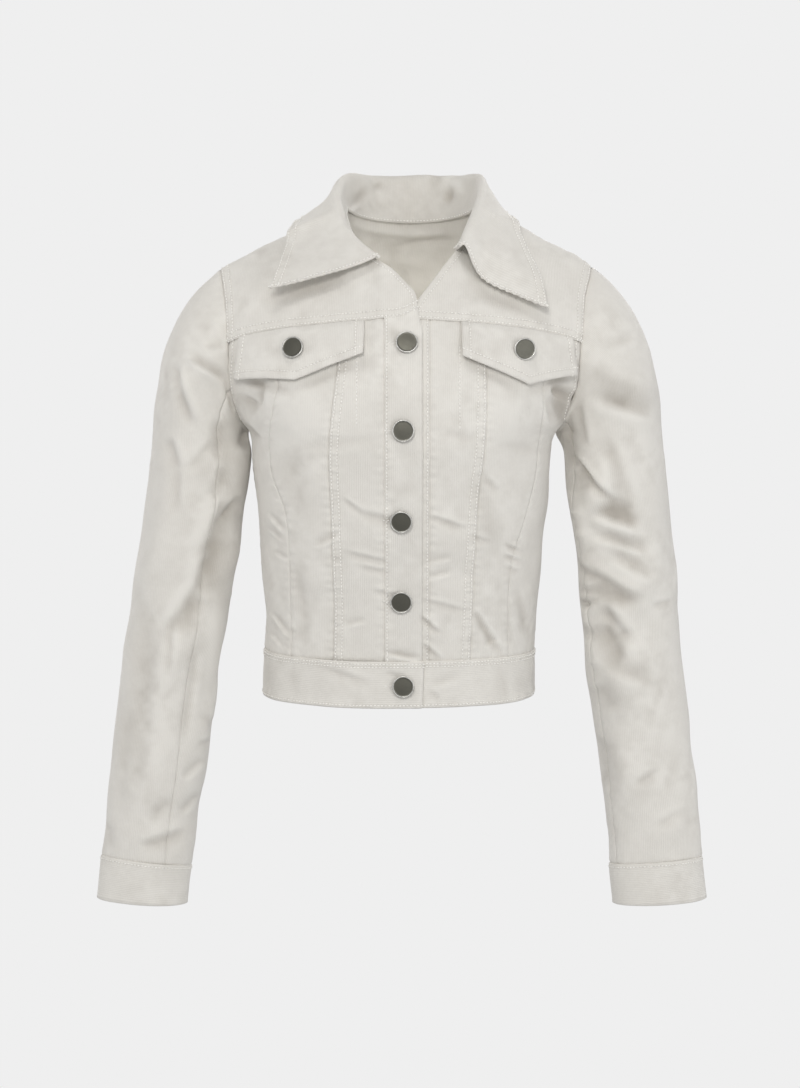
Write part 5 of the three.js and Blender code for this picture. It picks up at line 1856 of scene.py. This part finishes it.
        # The stand's dents are painted as shade, and the whole stand gets painted shade as the under collar
        # lies in shade.
        piece.press(self.dents.depth(points[..., 0], points[..., 2]) * stand, 1.0)
        piece.hollow += self.shade * stand
        piece.relief(3)
        for edge, end, inside in ((Edge.LOW, 0, 3), (Edge.HIGH, -1, -4)):
            outward = unit(piece.points[end] - piece.points[inside])
            from_seam = piece.distance[Edge.START]
            wave = 0.5 * np.sin(from_seam * 2 * np.pi / self.scallop_pitch)
            near_edge = np.exp(-((piece.distance[edge] / self.scallop_reach) ** 2))
            shift = wave * near_edge * smooth((from_seam - self.scallop_from) / 6)
            way = self.scallop * outward[None] + self.scallop_curl * piece.normals
            piece.points = piece.points + way * shift[..., None]
        return piece


@dataclass(frozen=True)
class ButtonSize:
    """The sizes of the jacket's buttons."""

    radius: float = 10.0
    rim: float = 1.1
    rise: float = 1.5
    shank_radius: float = 3.0
    shank_height: float = 2.2
    sides: int = 56

    def profile(self) -> list[tuple[float, float]]:
        """The turned outline, from the foot of the shank to the middle of the face."""
        r, h = self.radius, self.shank_height
        top = h + self.rise
        return [
            (0, 0),
            (self.shank_radius, 0),
            (self.shank_radius * 0.8, h * 0.5),
            (self.shank_radius, h),
            (r - 1.6, h),
            (r - 0.7, h + 0.15),
            (r - 0.15, h + 0.6),
            (r, h + 1.05),
            (r - 0.06, top - 0.1),
            (r - 0.3, top + 0.3),
            (r - 0.7, top + 0.46),
            (r - self.rim, top + 0.36),
            (r - self.rim - 0.25, top + 0.05),
            (r - self.rim - 0.6, top - 0.12),
            (r - self.rim - 1.4, top - 0.1),
            (r * 0.5, top + 0.04),
            (r * 0.2, top + 0.13),
            (0, top + 0.15),
        ]


@dataclass
class Buttons:
    """The metal buttons of the front, the waistband and the flaps."""

    size: ButtonSize = field(default_factory=ButtonSize)
    front: tuple[tuple[str, float, float], ...] = (
        ("button_1", 3.2, -123),
        ("button_2", 0, -198.5),
        ("button_3", -1.8, -279),
        ("button_4", -1.8, -352.5),
        ("button_waistband", 0, -431),
    )
    flap_out: tuple[tuple[Side, float, float], ...] = ((Side.RIGHT, 98, 0.2), (Side.LEFT, 105, 1.0))
    glint: tuple[float, float, float] = (0.211, -0.977, -0.017)
    flap_down: float = 21.0
    seat_gap: float = 0.35
    turned_lift: float = 2.4
    # Width and fade of the painted highlight round each button's rim.
    worn_wide: float = 1.7
    worn_fade: float = 0.8

    def seats(self) -> Iterable[tuple[str, Array, Array]]:
        """Where each button sits.

        Yields:
            The node's name, the place and the direction that it faces.
        """
        for name, x, z in self.front:
            turn, height = FORM.turn_at(np.array([x]), np.array([z])), np.array([float(z)])
            lift = PLACKET_LIFT + DOUBLE / 2 + self.seat_gap + (WAISTBAND_LIFT if z < BAND_TOP_Z else 0)
            yield name, *self.seat(turn, height, lift)
        for side, out, turned in self.flap_out:
            turn = turn_out(np.array([out]), side, np.array([YOKE_MIDDLE_Z - self.flap_down]))
            z = yoke_z(turn) - self.flap_down
            lift = CLOTH / 2 + LAY_GAP + DOUBLE + self.seat_gap
            lift += FLAPS[side].stand * (self.flap_down / FLAPS[side].point_deep) ** FLAP_CURL * 0.5
            place, facing = self.seat(turn, z, lift + self.turned_lift * turned)
            yield f"{side.word}_flap_button", place, unit(mix(facing, np.array(self.glint), turned))

    @staticmethod
    def seat(turn: Array, z: Array, lift: float) -> tuple[Array, Array]:
        """The place and the outward direction at an angle, a height and a lift."""
        normal = FORM.normal(turn, z)
        return (FORM.point(turn, z) + normal * (lift - FORM.sunk(turn, z))[:, None])[0], normal[0]

    def mesh(self, name: str, place: Array, facing: Array) -> bpy.types.Object:
        """Turns a button on its axis, closed at both poles.

        Args:
            name: the object's name.
            place: the foot of the shank.
            facing: the direction of the axis.

        Returns:
            The new object.
        """
        profile = np.array(self.size.profile())
        angles = np.arange(self.size.sides) * 2 * np.pi / self.size.sides
        side_way = unit(np.cross(facing, [0.0, 0.0, 1.0]))
        up_way = np.cross(facing, side_way)
        spokes = np.cos(angles)[:, None] * side_way + np.sin(angles)[:, None] * up_way
        rings = profile[1:-1, 0][:, None, None] * spokes + (profile[1:-1, 1][:, None] * facing)[:, None]
        poles = [facing * profile[0, 1], facing * profile[-1, 1]]
        made = (np.concatenate([rings.reshape(-1, 3), poles]) + place) * MILLIMETRE
        grid, (a, b, c, d) = grid_corners(len(profile) - 2, self.size.sides)
        tris = [np.stack([a, b, c], -1), np.stack([a, c, d], -1)]
        foot, face = len(made) - 2, len(made) - 1
        tris += [fan(foot, grid[0, 1:], grid[0, :-1]), fan(face, grid[-1, :-1], grid[-1, 1:])]
        faces = np.concatenate([t.reshape(-1, 3) for t in tris])
        if faces_inward(made - made.mean(axis=0), faces):
            faces = faces[:, ::-1]
        return mesh_object(name, made, faces)


class Nodes:
    """A short way to write node trees."""

    def __init__(self, tree: bpy.types.NodeTree) -> None:
        """Keeps the tree that nodes are added to."""
        self.tree = tree

    def add(self, kind: str, inputs: Sockets | None = None, **settings: object) -> bpy.types.Node:
        """Adds a node.

        Args:
            kind: the node's type.
            inputs: sockets by name or number, each a value or a socket to link from.
            **settings: the node's own properties.

        Returns:
            The node.
        """
        node = self.tree.nodes.new(kind)
        for key, value in settings.items():
            setattr(node, key, value)
        for key, value in (inputs or {}).items():
            if isinstance(value, bpy.types.NodeSocket):
                self.tree.links.new(value, node.inputs[key])
            else:
                node.inputs[key].default_value = value
        return node

    def math(self, operation: str, *values: object) -> bpy.types.NodeSocket:
        """Adds a math node and returns its result."""
        return self.add("ShaderNodeMath", dict(enumerate(values)), operation=operation).outputs[0]


def new_group(name: str, inputs: dict[str, tuple[str, float]], outputs: dict[str, str]) -> bpy.types.NodeTree:
    """Makes an empty shader node group with named sockets.

    Args:
        name: the group's name.
        inputs: socket types and starting values by name.
        outputs: socket types by name.

    Returns:
        The group with its input and output nodes.
    """
    group = bpy.data.node_groups.new(name, "ShaderNodeTree")
    for key, (kind, value) in inputs.items():
        socket = group.interface.new_socket(name=key, in_out="INPUT", socket_type=kind)
        if kind == "NodeSocketFloat":
            socket.default_value = value
    for key, kind in outputs.items():
        group.interface.new_socket(name=key, in_out="OUTPUT", socket_type=kind)
    group.nodes.new("NodeGroupInput").name = "In"
    group.nodes.new("NodeGroupOutput").name = "Out"
    return group


def wale_group() -> bpy.types.NodeTree:
    """The ribs of corduroy, from the cloth's own UV map.

    Returns:
        A group that puts out the height of the ribs in metres and a mask of the furrows.
    """
    ins = {
        "UV": ("NodeSocketVector", 0.0),
        "Pitch": ("NodeSocketFloat", 0.00165),
        "Depth": ("NodeSocketFloat", 1e-4),
    }
    group = new_group("wales", ins, {"Height": "NodeSocketFloat", "Furrow": "NodeSocketFloat"})
    n, given, out = Nodes(group), group.nodes["In"], group.nodes["Out"]
    parts = n.add("ShaderNodeSeparateXYZ", {0: given.outputs["UV"]})
    drift = n.add("ShaderNodeTexNoise", {"Vector": given.outputs["UV"], "Scale": 55.0, "Detail": 1.0})
    count = n.math("DIVIDE", parts.outputs[0], given.outputs["Pitch"])
    count = n.math("ADD", count, n.math("MULTIPLY", drift.outputs["Fac"], 0.55))
    rib = n.math("ABSOLUTE", n.math("SINE", n.math("MULTIPLY", count, math.pi)))
    rib = n.math("POWER", rib, 0.6)
    pile = n.add("ShaderNodeTexNoise", {"Vector": given.outputs["UV"], "Scale": 1900.0, "Detail": 2.0})
    rough = n.math("MULTIPLY", n.math("SUBTRACT", pile.outputs["Fac"], 0.5), 0.5)
    height = n.math("MULTIPLY", n.math("ADD", rib, rough), given.outputs["Depth"])
    group.links.new(height, out.inputs["Height"])
    group.links.new(n.math("SUBTRACT", 1.0, rib), out.inputs["Furrow"])
    return group


def mottle_group() -> bpy.types.NodeTree:
    """Soft patches where the pile lies one way or the other.

    Returns:
        A group that puts out a mask of the patches.
    """
    ins = {"Position": ("NodeSocketVector", 0.0), "Scale": ("NodeSocketFloat", 30.0)}
    group = new_group("mottle", ins, {"Mask": "NodeSocketFloat"})
    n, given, out = Nodes(group), group.nodes["In"], group.nodes["Out"]
    place = {"Vector": given.outputs["Position"]}
    first = place | {"Scale": given.outputs["Scale"], "Detail": 3.0, "Roughness": 0.55}
    broad = n.add("ShaderNodeTexNoise", first)
    total = n.math("MULTIPLY", broad.outputs["Fac"], 0.5)
    for times, share in ((3.3, 0.2), (11.0, 0.2), (34.0, 0.1)):
        scale = n.math("MULTIPLY", given.outputs["Scale"], times)
        finer = n.add("ShaderNodeTexNoise", place | {"Scale": scale, "Detail": 2.0})
        total = n.math("ADD", total, n.math("MULTIPLY", finer.outputs["Fac"], share))
    spread = n.add("ShaderNodeMapRange", {"Value": total, "From Min": 0.38, "From Max": 0.62})
    group.links.new(spread.outputs[0], out.inputs["Mask"])
    return group


def seam_group() -> bpy.types.NodeTree:
    """The grooves that rows of topstitching press into the cloth.

    Returns:
        A group that puts out the depth of the grooves in metres and their mask.
    """
    group = new_group(
        "seam_grooves",
        {"Gaps": ("NodeSocketVector", 0.0)},
        {"Depth": "NodeSocketFloat", "Mask": "NodeSocketFloat"},
    )
    n, given, out = Nodes(group), group.nodes["In"], group.nodes["Out"]
    parts = n.add("ShaderNodeSeparateXYZ", {0: given.outputs["Gaps"]})
    masks = []
    for row in (0, 1):
        off = n.math("DIVIDE", parts.outputs[row], GROOVE_WIDTH)
        masks.append(n.math("EXPONENT", n.math("MULTIPLY", n.math("MULTIPLY", off, off), -1.0)))
    mask = n.math("MAXIMUM", *masks)
    group.links.new(n.math("MULTIPLY", mask, GROOVE_DEPTH), out.inputs["Depth"])
    group.links.new(mask, out.inputs["Mask"])
    return group


@dataclass(frozen=True)
class CorduroyFinish:
    """Cream cotton corduroy, dull, with a soft sheen."""

    cloth: Colour = (0.745, 0.725, 0.68)
    # The shade colour serves painted shade and the darker patches of the mottle.
    shade: Colour = (0.46, 0.43, 0.385)
    pitch: float = 0.00165
    rib_depth: float = 0.00015
    roughness: float = 0.92
    sheen: float = 0.6
    sheen_roughness: float = 0.55

    def material(self, name: str, groups: Groups) -> bpy.types.Material:
        """Builds the material.

        Args:
            name: the material's name.
            groups: the shared node groups by name.

        Returns:
            The material.
        """
        made = bpy.data.materials.new(name)
        made.use_nodes = True
        tree = made.node_tree
        n = Nodes(tree)
        shader = tree.nodes["Principled BSDF"]
        uv = n.add("ShaderNodeUVMap", uv_map="cloth")
        place = n.add("ShaderNodeTexCoord")
        gap = n.add("ShaderNodeAttribute", attribute_name="row_gaps")
        hollow = n.add("ShaderNodeAttribute", attribute_name="hollow")
        wales = n.add("ShaderNodeGroup", node_tree=groups["wales"])
        for key, value in (("Pitch", self.pitch), ("Depth", self.rib_depth)):
            wales.inputs[key].default_value = value
        mottle = n.add("ShaderNodeGroup", node_tree=groups["mottle"])
        mottle.inputs["Scale"].default_value = 28.0
        grooves = n.add("ShaderNodeGroup", node_tree=groups["seam_grooves"])
        tree.links.new(uv.outputs["UV"], wales.inputs["UV"])
        tree.links.new(place.outputs["Object"], mottle.inputs["Position"])
        tree.links.new(gap.outputs["Vector"], grooves.inputs["Gaps"])
        # Painted shade in the rib furrows, the pieces' painted light and shade, the pile's own mottled tone
        # and painted shade in the stitch grooves.
        painted_shade_and_mottle = n.math("MULTIPLY", wales.outputs["Furrow"], 0.2)
        painted_shade_and_mottle = n.math("ADD", painted_shade_and_mottle, n.math("ADD", n.math("MULTIPLY", hollow.outputs["Fac"], 0.15), -0.02))
        painted_shade_and_mottle = n.math("ADD", painted_shade_and_mottle, n.math("MULTIPLY", mottle.outputs["Mask"], 0.2))
        painted_shade_and_mottle = n.math("ADD", painted_shade_and_mottle, n.math("MULTIPLY", grooves.outputs["Mask"], 0.14))
        colour = n.add(
            "ShaderNodeMix",
            {0: painted_shade_and_mottle, 6: (*self.cloth, 1.0), 7: (*self.shade, 1.0)},
            data_type="RGBA",
            clamp_factor=True,
        )
        tree.links.new(colour.outputs[2], shader.inputs["Base Color"])
        rough = n.math("ADD", n.math("MULTIPLY", mottle.outputs["Mask"], 0.06), self.roughness - 0.03)
        tree.links.new(rough, shader.inputs["Roughness"])
        height = n.math("SUBTRACT", wales.outputs["Height"], grooves.outputs["Depth"])
        bump = n.add("ShaderNodeBump", {"Height": height, "Distance": 1.0, "Strength": 1.0})
        tree.links.new(bump.outputs[0], shader.inputs["Normal"])
        shader.inputs["Sheen Weight"].default_value = self.sheen
        shader.inputs["Sheen Roughness"].default_value = self.sheen_roughness
        shader.inputs["Sheen Tint"].default_value = (1.0, 0.98, 0.95, 1.0)
        shader.inputs["Specular IOR Level"].default_value = 0.25
        return made


@dataclass(frozen=True)
class ThreadFinish:
    """Pale cotton thread, a little brighter than the cloth."""

    colour: Colour = (0.96, 0.945, 0.905)

    def material(self, name: str, groups: Groups) -> bpy.types.Material:
        """Builds the material from the shared node groups."""
        made = bpy.data.materials.new(name)
        made.use_nodes = True
        n = Nodes(made.node_tree)
        shader = made.node_tree.nodes["Principled BSDF"]
        place = n.add("ShaderNodeTexCoord")
        mottle = n.add("ShaderNodeGroup", {"Position": place.outputs["Object"]}, node_tree=groups["mottle"])
        mottle.inputs["Scale"].default_value = 160.0
        mottled_mix = tuple(c * 0.88 for c in self.colour)
        colour = n.add(
            "ShaderNodeMix",
            {0: mottle.outputs["Mask"], 6: (*self.colour, 1.0), 7: (*mottled_mix, 1.0)},
            data_type="RGBA",
        )
        made.node_tree.links.new(colour.outputs[2], shader.inputs["Base Color"])
        shader.inputs["Roughness"].default_value = 0.7
        shader.inputs["Sheen Weight"].default_value = 0.2
        return made


@dataclass(frozen=True)
class GunmetalFinish:
    """Dark satin metal, with a painted highlight round the rim."""

    face: Colour = (0.115, 0.112, 0.094)
    rubbed: Colour = (0.62, 0.61, 0.58)
    roughness: float = 0.42

    def material(self, name: str, groups: Groups) -> bpy.types.Material:
        """Builds the material from the shared node groups."""
        made = bpy.data.materials.new(name)
        made.use_nodes = True
        tree = made.node_tree
        n = Nodes(tree)
        shader = tree.nodes["Principled BSDF"]
        place = n.add("ShaderNodeTexCoord")
        mottle = n.add("ShaderNodeGroup", {"Position": place.outputs["Object"]}, node_tree=groups["mottle"])
        mottle.inputs["Scale"].default_value = 420.0
        rim = n.add("ShaderNodeAttribute", attribute_name="rim")
        # Painted highlight round the rim, broken up by the mottle.
        mottled_mix = n.math("MULTIPLY", rim.outputs["Fac"], n.math("ADD", mottle.outputs["Mask"], 0.5))
        colour = n.add(
            "ShaderNodeMix",
            {0: mottled_mix, 6: (*self.face, 1.0), 7: (*self.rubbed, 1.0)},
            data_type="RGBA",
            clamp_factor=True,
        )
        tree.links.new(colour.outputs[2], shader.inputs["Base Color"])
        rough = n.math("ADD", n.math("MULTIPLY", mottle.outputs["Mask"], 0.14), self.roughness - 0.07)
        tree.links.new(rough, shader.inputs["Roughness"])
        height = n.math("MULTIPLY", mottle.outputs["Mask"], 0.00002)
        bump = n.add("ShaderNodeBump", {"Height": height, "Distance": 1.0})
        tree.links.new(bump.outputs[0], shader.inputs["Normal"])
        shader.inputs["Metallic"].default_value = 0.9
        return made


@dataclass
class Stitching:
    """Rows of topstitching, laid along lines by one Geometry Nodes tree."""

    pitch: float = 3.3
    length: float = 2.4
    width: float = 1.0
    material: bpy.types.Material | None = None

    def tree(self) -> bpy.types.NodeTree:
        """Builds the tree that sets one stitch at each step of a line.

        Returns:
            The tree, with the pitch, length and width as named inputs.
        """
        group = bpy.data.node_groups.new("stitches", "GeometryNodeTree")
        face = group.interface
        face.new_socket(name="Lines", in_out="INPUT", socket_type="NodeSocketGeometry")
        for name in ("Pitch", "Length", "Width"):
            face.new_socket(name=name, in_out="INPUT", socket_type="NodeSocketFloat")
        face.new_socket(name="Stitches", in_out="OUTPUT", socket_type="NodeSocketGeometry")
        n = Nodes(group)
        given, out = n.add("NodeGroupInput"), n.add("NodeGroupOutput")
        curve = n.add("GeometryNodeMeshToCurve", {0: given.outputs["Lines"]})
        steps = {"Curve": curve.outputs[0], "Length": given.outputs["Pitch"]}
        even = n.add("GeometryNodeResampleCurve", steps, mode="LENGTH")
        tangent = n.add("GeometryNodeInputTangent")
        turned = n.add("FunctionNodeAlignRotationToVector", {"Vector": tangent.outputs[0]}, axis="Z")
        stitch = n.add("GeometryNodeMeshUVSphere", {"Segments": 6, "Rings": 4, "Radius": 0.5})
        size = n.add(
            "ShaderNodeCombineXYZ",
            {0: given.outputs["Width"], 1: given.outputs["Width"], 2: given.outputs["Length"]},
        )
        placed = n.add(
            "GeometryNodeInstanceOnPoints",
            {
                "Points": even.outputs[0],
                "Instance": stitch.outputs["Mesh"],
                "Rotation": turned.outputs[0],
                "Scale": size.outputs[0],
            },
        )
        real = n.add("GeometryNodeRealizeInstances", {0: placed.outputs[0]})
        soft = n.add("GeometryNodeSetShadeSmooth", {0: real.outputs[0]})
        dressed = n.add("GeometryNodeSetMaterial", {0: soft.outputs[0], "Material": self.material})
        group.links.new(dressed.outputs[0], out.inputs[0])
        return group

    def sew(self, name: str, lines: Sequence[Array], tree: bpy.types.NodeTree) -> bpy.types.Object:
        """Sews a set of lines and turns the result into a plain mesh.

        Args:
            name: the object's name.
            lines: places along each line, in millimetres.
            tree: the Geometry Nodes tree.

        Returns:
            The new object.
        """
        verts, edges, count = [], [], 0
        for line in lines:
            verts.append(line * MILLIMETRE)
            edges += [(count + i, count + i + 1) for i in range(len(line) - 1)]
            count += len(line)
        mesh = bpy.data.meshes.new(name + "_lines")
        mesh.from_pydata(np.concatenate(verts).tolist(), edges, [])
        source = bpy.data.objects.new(name + "_lines", mesh)
        bpy.context.scene.collection.objects.link(source)
        modifier = source.modifiers.new("stitches", "NODES")
        modifier.node_group = tree
        sizes = {"Pitch": self.pitch, "Length": self.length, "Width": self.width}
        for item in tree.interface.items_tree:
            if item.in_out == "INPUT" and item.name in sizes:
                modifier[item.identifier] = sizes[item.name] * MILLIMETRE
        graph = bpy.context.evaluated_depsgraph_get()
        plain = bpy.data.meshes.new_from_object(source.evaluated_get(graph), depsgraph=graph)
        plain.name = name
        source.modifiers.clear()
        bpy.data.objects.remove(source)
        made = bpy.data.objects.new(name, plain)
        bpy.context.scene.collection.objects.link(made)
        return made


@dataclass
class Studio:
    """The camera, the light and a pale floor that curves up behind."""

    eye: tuple[float, float, float] = (-0.00282, -2.18987, -0.10028)
    target: tuple[float, float, float] = (-0.00282, 0.0, -0.31114)
    lens: float = 77.44
    floor_z: float = -1.0
    paper: float = 0.863
    paper_glow: float = 0.52

    def camera(self) -> None:
        """Sets up the camera at the photograph's angle."""
        data = bpy.data.cameras.new("camera")
        data.lens, data.sensor_width, data.sensor_fit = self.lens, 36.0, "AUTO"
        data.clip_start, data.clip_end = 0.05, 60.0
        made = bpy.data.objects.new("camera", data)
        made.location = self.eye
        made.rotation_euler = (Vector(self.target) - Vector(self.eye)).to_track_quat("-Z", "Y").to_euler()
        bpy.context.scene.collection.objects.link(made)
        bpy.context.scene.camera = made

    def lamp(
        self,
        name: str,
        place: Sequence[float],
        size: float,
        power: float,
        colour: Sequence[float],
        aim: Sequence[float] = (0, 0, -0.3),
    ) -> None:
        """Adds a square soft light.

        Args:
            name: the light's name.
            place: where it stands.
            size: its width.
            power: its strength in watts.
            colour: its colour.
            aim: the place that it faces.
        """
        data = bpy.data.lights.new(name, "AREA")
        data.shape, data.size, data.energy, data.color = "SQUARE", size, power, colour
        made = bpy.data.objects.new(name, data)
        made.location = place
        made.rotation_euler = (Vector(aim) - Vector(place)).to_track_quat("-Z", "Y").to_euler()
        made.visible_camera = False
        bpy.context.scene.collection.objects.link(made)

    def lights(self) -> None:
        """Hangs the soft lights and sets the pale surroundings."""
        self.lamp("key", (-0.25, -2.5, 0.7), 0.6, 23, (1.0, 0.985, 0.965))
        self.lamp("top", (-0.3, -0.9, 1.8), 0.5, 7, (1.0, 0.985, 0.965))
        self.lamp("fill", (1.3, -2.4, -0.25), 1.2, 13.5, (0.98, 0.985, 1.0))
        self.lamp("neck", (0.006, -0.03, -0.14), 0.06, 0.075, (1.0, 0.97, 0.9), (0.006, 0.3, -0.16))
        self.lamp("back", (0.3, 2.2, 1.3), 1.4, 14, (1.0, 1.0, 1.0))
        self.lamp("right_edge", (-1.9, 0.0, -0.1), 1.0, 4.0, (0.98, 0.985, 1.0))
        self.lamp("left_edge", (1.9, 0.0, -0.1), 1.0, 4.0, (0.98, 0.985, 1.0))
        world = bpy.data.worlds.new("room")
        bpy.context.scene.world = world
        world.use_nodes = True
        world.node_tree.nodes["Background"].inputs[0].default_value = (1, 1, 1, 1)
        world.node_tree.nodes["Background"].inputs[1].default_value = 0.3
        bpy.context.scene.view_settings.view_transform = "Standard"

    def backdrop(self) -> bpy.types.Object:
        """Makes the round floor whose rim curves up into a wall.

        Returns:
            The backdrop.
        """
        rise = [(r, 0.0) for r in (0.6, 1.6, 3.0)]
        bend = np.linspace(0.15, math.pi / 2, 12)
        rise += [(3.0 + 2.0 * math.sin(a), 2.0 - 2.0 * math.cos(a)) for a in bend]
        rise += [(5.0, 3.0), (5.0, 5.0)]
        angles = np.linspace(0, 2 * np.pi, 65)[:-1]
        rings = [[(r * math.cos(a), r * math.sin(a), self.floor_z + h) for a in angles] for r, h in rise]
        verts = np.array([p for ring in rings for p in ring] + [(0, 0, self.floor_z)])
        grid = np.arange(len(rise) * 64).reshape(len(rise), 64)
        grid = np.concatenate([grid, grid[:, :1]], axis=1)
        a, b, c, d = grid[:-1, :-1], grid[:-1, 1:], grid[1:, 1:], grid[1:, :-1]
        tris = [np.stack([a, c, b], -1).reshape(-1, 3), np.stack([a, d, c], -1).reshape(-1, 3)]
        hub = len(verts) - 1
        tris.append(np.stack([np.full(64, hub), grid[0, :-1], grid[0, 1:]], -1))
        made = mesh_object("backdrop", verts, np.concatenate(tris))
        made.data.materials.append(self.paper_material())
        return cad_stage(made)

    def paper_material(self) -> bpy.types.Material:
        """A pale paper that shows one even tone and gives soft light back."""
        made = bpy.data.materials.new("pale_paper")
        made.use_nodes = True
        tree = made.node_tree
        tree.nodes.clear()
        n = Nodes(tree)
        path = n.add("ShaderNodeLightPath")
        power = n.add(
            "ShaderNodeMix",
            {0: path.outputs["Is Camera Ray"], 2: self.paper_glow, 3: self.paper},
            data_type="FLOAT",
        )
        glow = n.add("ShaderNodeEmission", {"Color": (1, 1, 1, 1), "Strength": power.outputs[0]})
        n.add("ShaderNodeOutputMaterial", {"Surface": glow.outputs[0]})
        return made


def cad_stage(obj: bpy.types.Object) -> bpy.types.Object:
    """Marks an object as part of the studio and not of the jacket."""
    obj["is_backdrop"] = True
    return obj


NEIGHBOURS = {
    "front_centre": ("waistband", "{side}_yoke"),
    "front_middle": ("waistband", "{side}_yoke"),
    "front_side": ("waistband", "{side}_yoke"),
    "yoke": ("back",),
    "pocket_flap": ("{side}_yoke",),
    "upper_sleeve": ("{side}_yoke", "back"),
    "under_sleeve": ("{side}_front_side", "back"),
    "cuff": ("{side}_upper_sleeve",),
    "button_band": ("waistband",),
    "buttonhole_band": ("button_band",),
    "back": ("right_yoke", "left_yoke"),
    "waistband": ("back",),
    "collar": ("back", "right_yoke", "left_yoke"),
}


@dataclass(frozen=True)
class Marks:
    """Short sewn marks on the front: buttonhole ends, a bar tack and rows beside the inner flap ends."""

    uprights: tuple[tuple[float, float, float], ...] = (
        (-41, -126, -192),
        (50, -126, -196),
        (-13.9, -401, -406.5),
    )
    hole_start: float = 11.4
    hole_length: float = 4.0

    def lines(self) -> list[Array]:
        """The lines of the marks, just above the cloth."""
        found = []
        for x, top, foot in self.uprights:
            z = np.linspace(top, foot, 24)
            found.append(self.on_front(np.full_like(z, x), z, 1.0))
        for _, x, z in Buttons().front:
            across = x - self.hole_start - np.linspace(0, self.hole_length, 4)
            lift = 1.0 + (WAISTBAND_LIFT if z < BAND_TOP_Z else 0)
            found.append(self.on_front(across, np.full_like(across, z), lift))
        return found

    @staticmethod
    def on_front(x: Array, z: Array, lift: float) -> Array:
        """Places on the front's outer face.

        Args:
            x: places from side to side.
            z: heights.
            lift: how far they stand off a single layer's middle.

        Returns:
            The places.
        """
        turn = FORM.turn_at(x, z)
        over = overlap_lift(turn, z) + np.where(x > -BAND_STITCH - BAND_EDGE, 0.5, 0) * (x < 20)
        sunk = FORM.sunk(turn, z) + FRONT_CREASES.depth(x, z)
        over = np.where(x > OVERLAP, 0.0, over)
        place = FORM.point(turn, z)
        return place + FORM.normal(turn, z) * (lift + over - sunk + WAVES.at(place))[:, None]


@dataclass
class Jacket:
    """The whole jacket: its cloth, its stitches and its buttons."""

    thread: list[Array] = field(default_factory=list)

    def cloths(self) -> Iterable[Cloth]:
        """Every piece of cloth, in the order that it is sewn.

        Yields:
            Each piece.
        """
        bodice = Bodice()
        for side in Side:
            yield bodice.yoke(side)
            yield from bodice.fronts(side)
            yield bodice.flap(side)
        yield from bodice.bands()
        yield bodice.back()
        yield bodice.waistband()
        yield Collar().cloth()
        for sleeve in SLEEVES:
            yield from sleeve.pieces()

    def dress(self) -> None:
        """Makes, finishes and declares every piece."""
        groups = {"wales": wale_group(), "mottle": mottle_group(), "seam_grooves": seam_group()}
        corduroy = CorduroyFinish().material("corduroy", groups)
        thread = ThreadFinish().material("thread", groups)
        gunmetal = GunmetalFinish().material("gunmetal", groups)
        rows: dict[str, list[Array]] = {"front": [], "sleeves": [], "hem": []}
        for cloth in self.cloths():
            obj = cloth.mesh()
            node, obj.name = cloth.name, "cloth_" + cloth.name
            obj.data.materials.append(corduroy)
            part = node.removeprefix("right_").removeprefix("left_")
            side = node.split("_")[0]
            hangs_from = [name.format(side=side) for name in NEIGHBOURS[part]]
            self.declare(obj, node, "corduroy")
            on_sleeve = "sleeve" in node or "cuff" in node
            where = "sleeves" if on_sleeve else "hem" if node == "waistband" else "front"
            rows[where] += cloth.thread_lines()
        rows["front"] += Marks().lines()
        stitching = Stitching(material=thread)
        tree = stitching.tree()
        for where, lines in rows.items():
            if lines:
                self.declare(stitching.sew(f"stitches_{where}", lines, tree), None, "corduroy")
        buttons = Buttons()
        for node, place, facing in buttons.seats():
            obj = buttons.mesh("metal_" + node, place, facing)
            spread = np.array([v.co for v in obj.data.vertices]) / MILLIMETRE - place
            radius = np.linalg.norm(spread - (spread @ facing)[:, None] * facing, axis=1)
            # The rim value marks where the painted highlight goes.
            inside_rim = buttons.size.radius - buttons.worn_wide
            add_values(obj, "rim", smooth((radius - inside_rim) / buttons.worn_fade))
            obj.data.materials.append(gunmetal)
            self.declare(obj, node, "button_metal")

    @staticmethod
    def declare(obj: bpy.types.Object, node: str | None, slot: str) -> None:
        """Hangs a piece from the root and hides the node that it replaces.

        Args:
            obj: the piece.
            node: the node that it replaces, or None for a piece that is added.
            slot: not used.
        """
        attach(obj, "root")
        if node:
            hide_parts(node)
        LOG.info("%s: %d faces", obj.name, len(obj.data.polygons))


def main() -> None:
    """Builds the jacket and its studio."""
    logging.basicConfig(level=logging.INFO, format="%(message)s")
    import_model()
    studio = Studio()
    studio.camera()
    studio.lights()
    studio.backdrop()
    Jacket().dress()


if __name__ == "__main__":
    main()
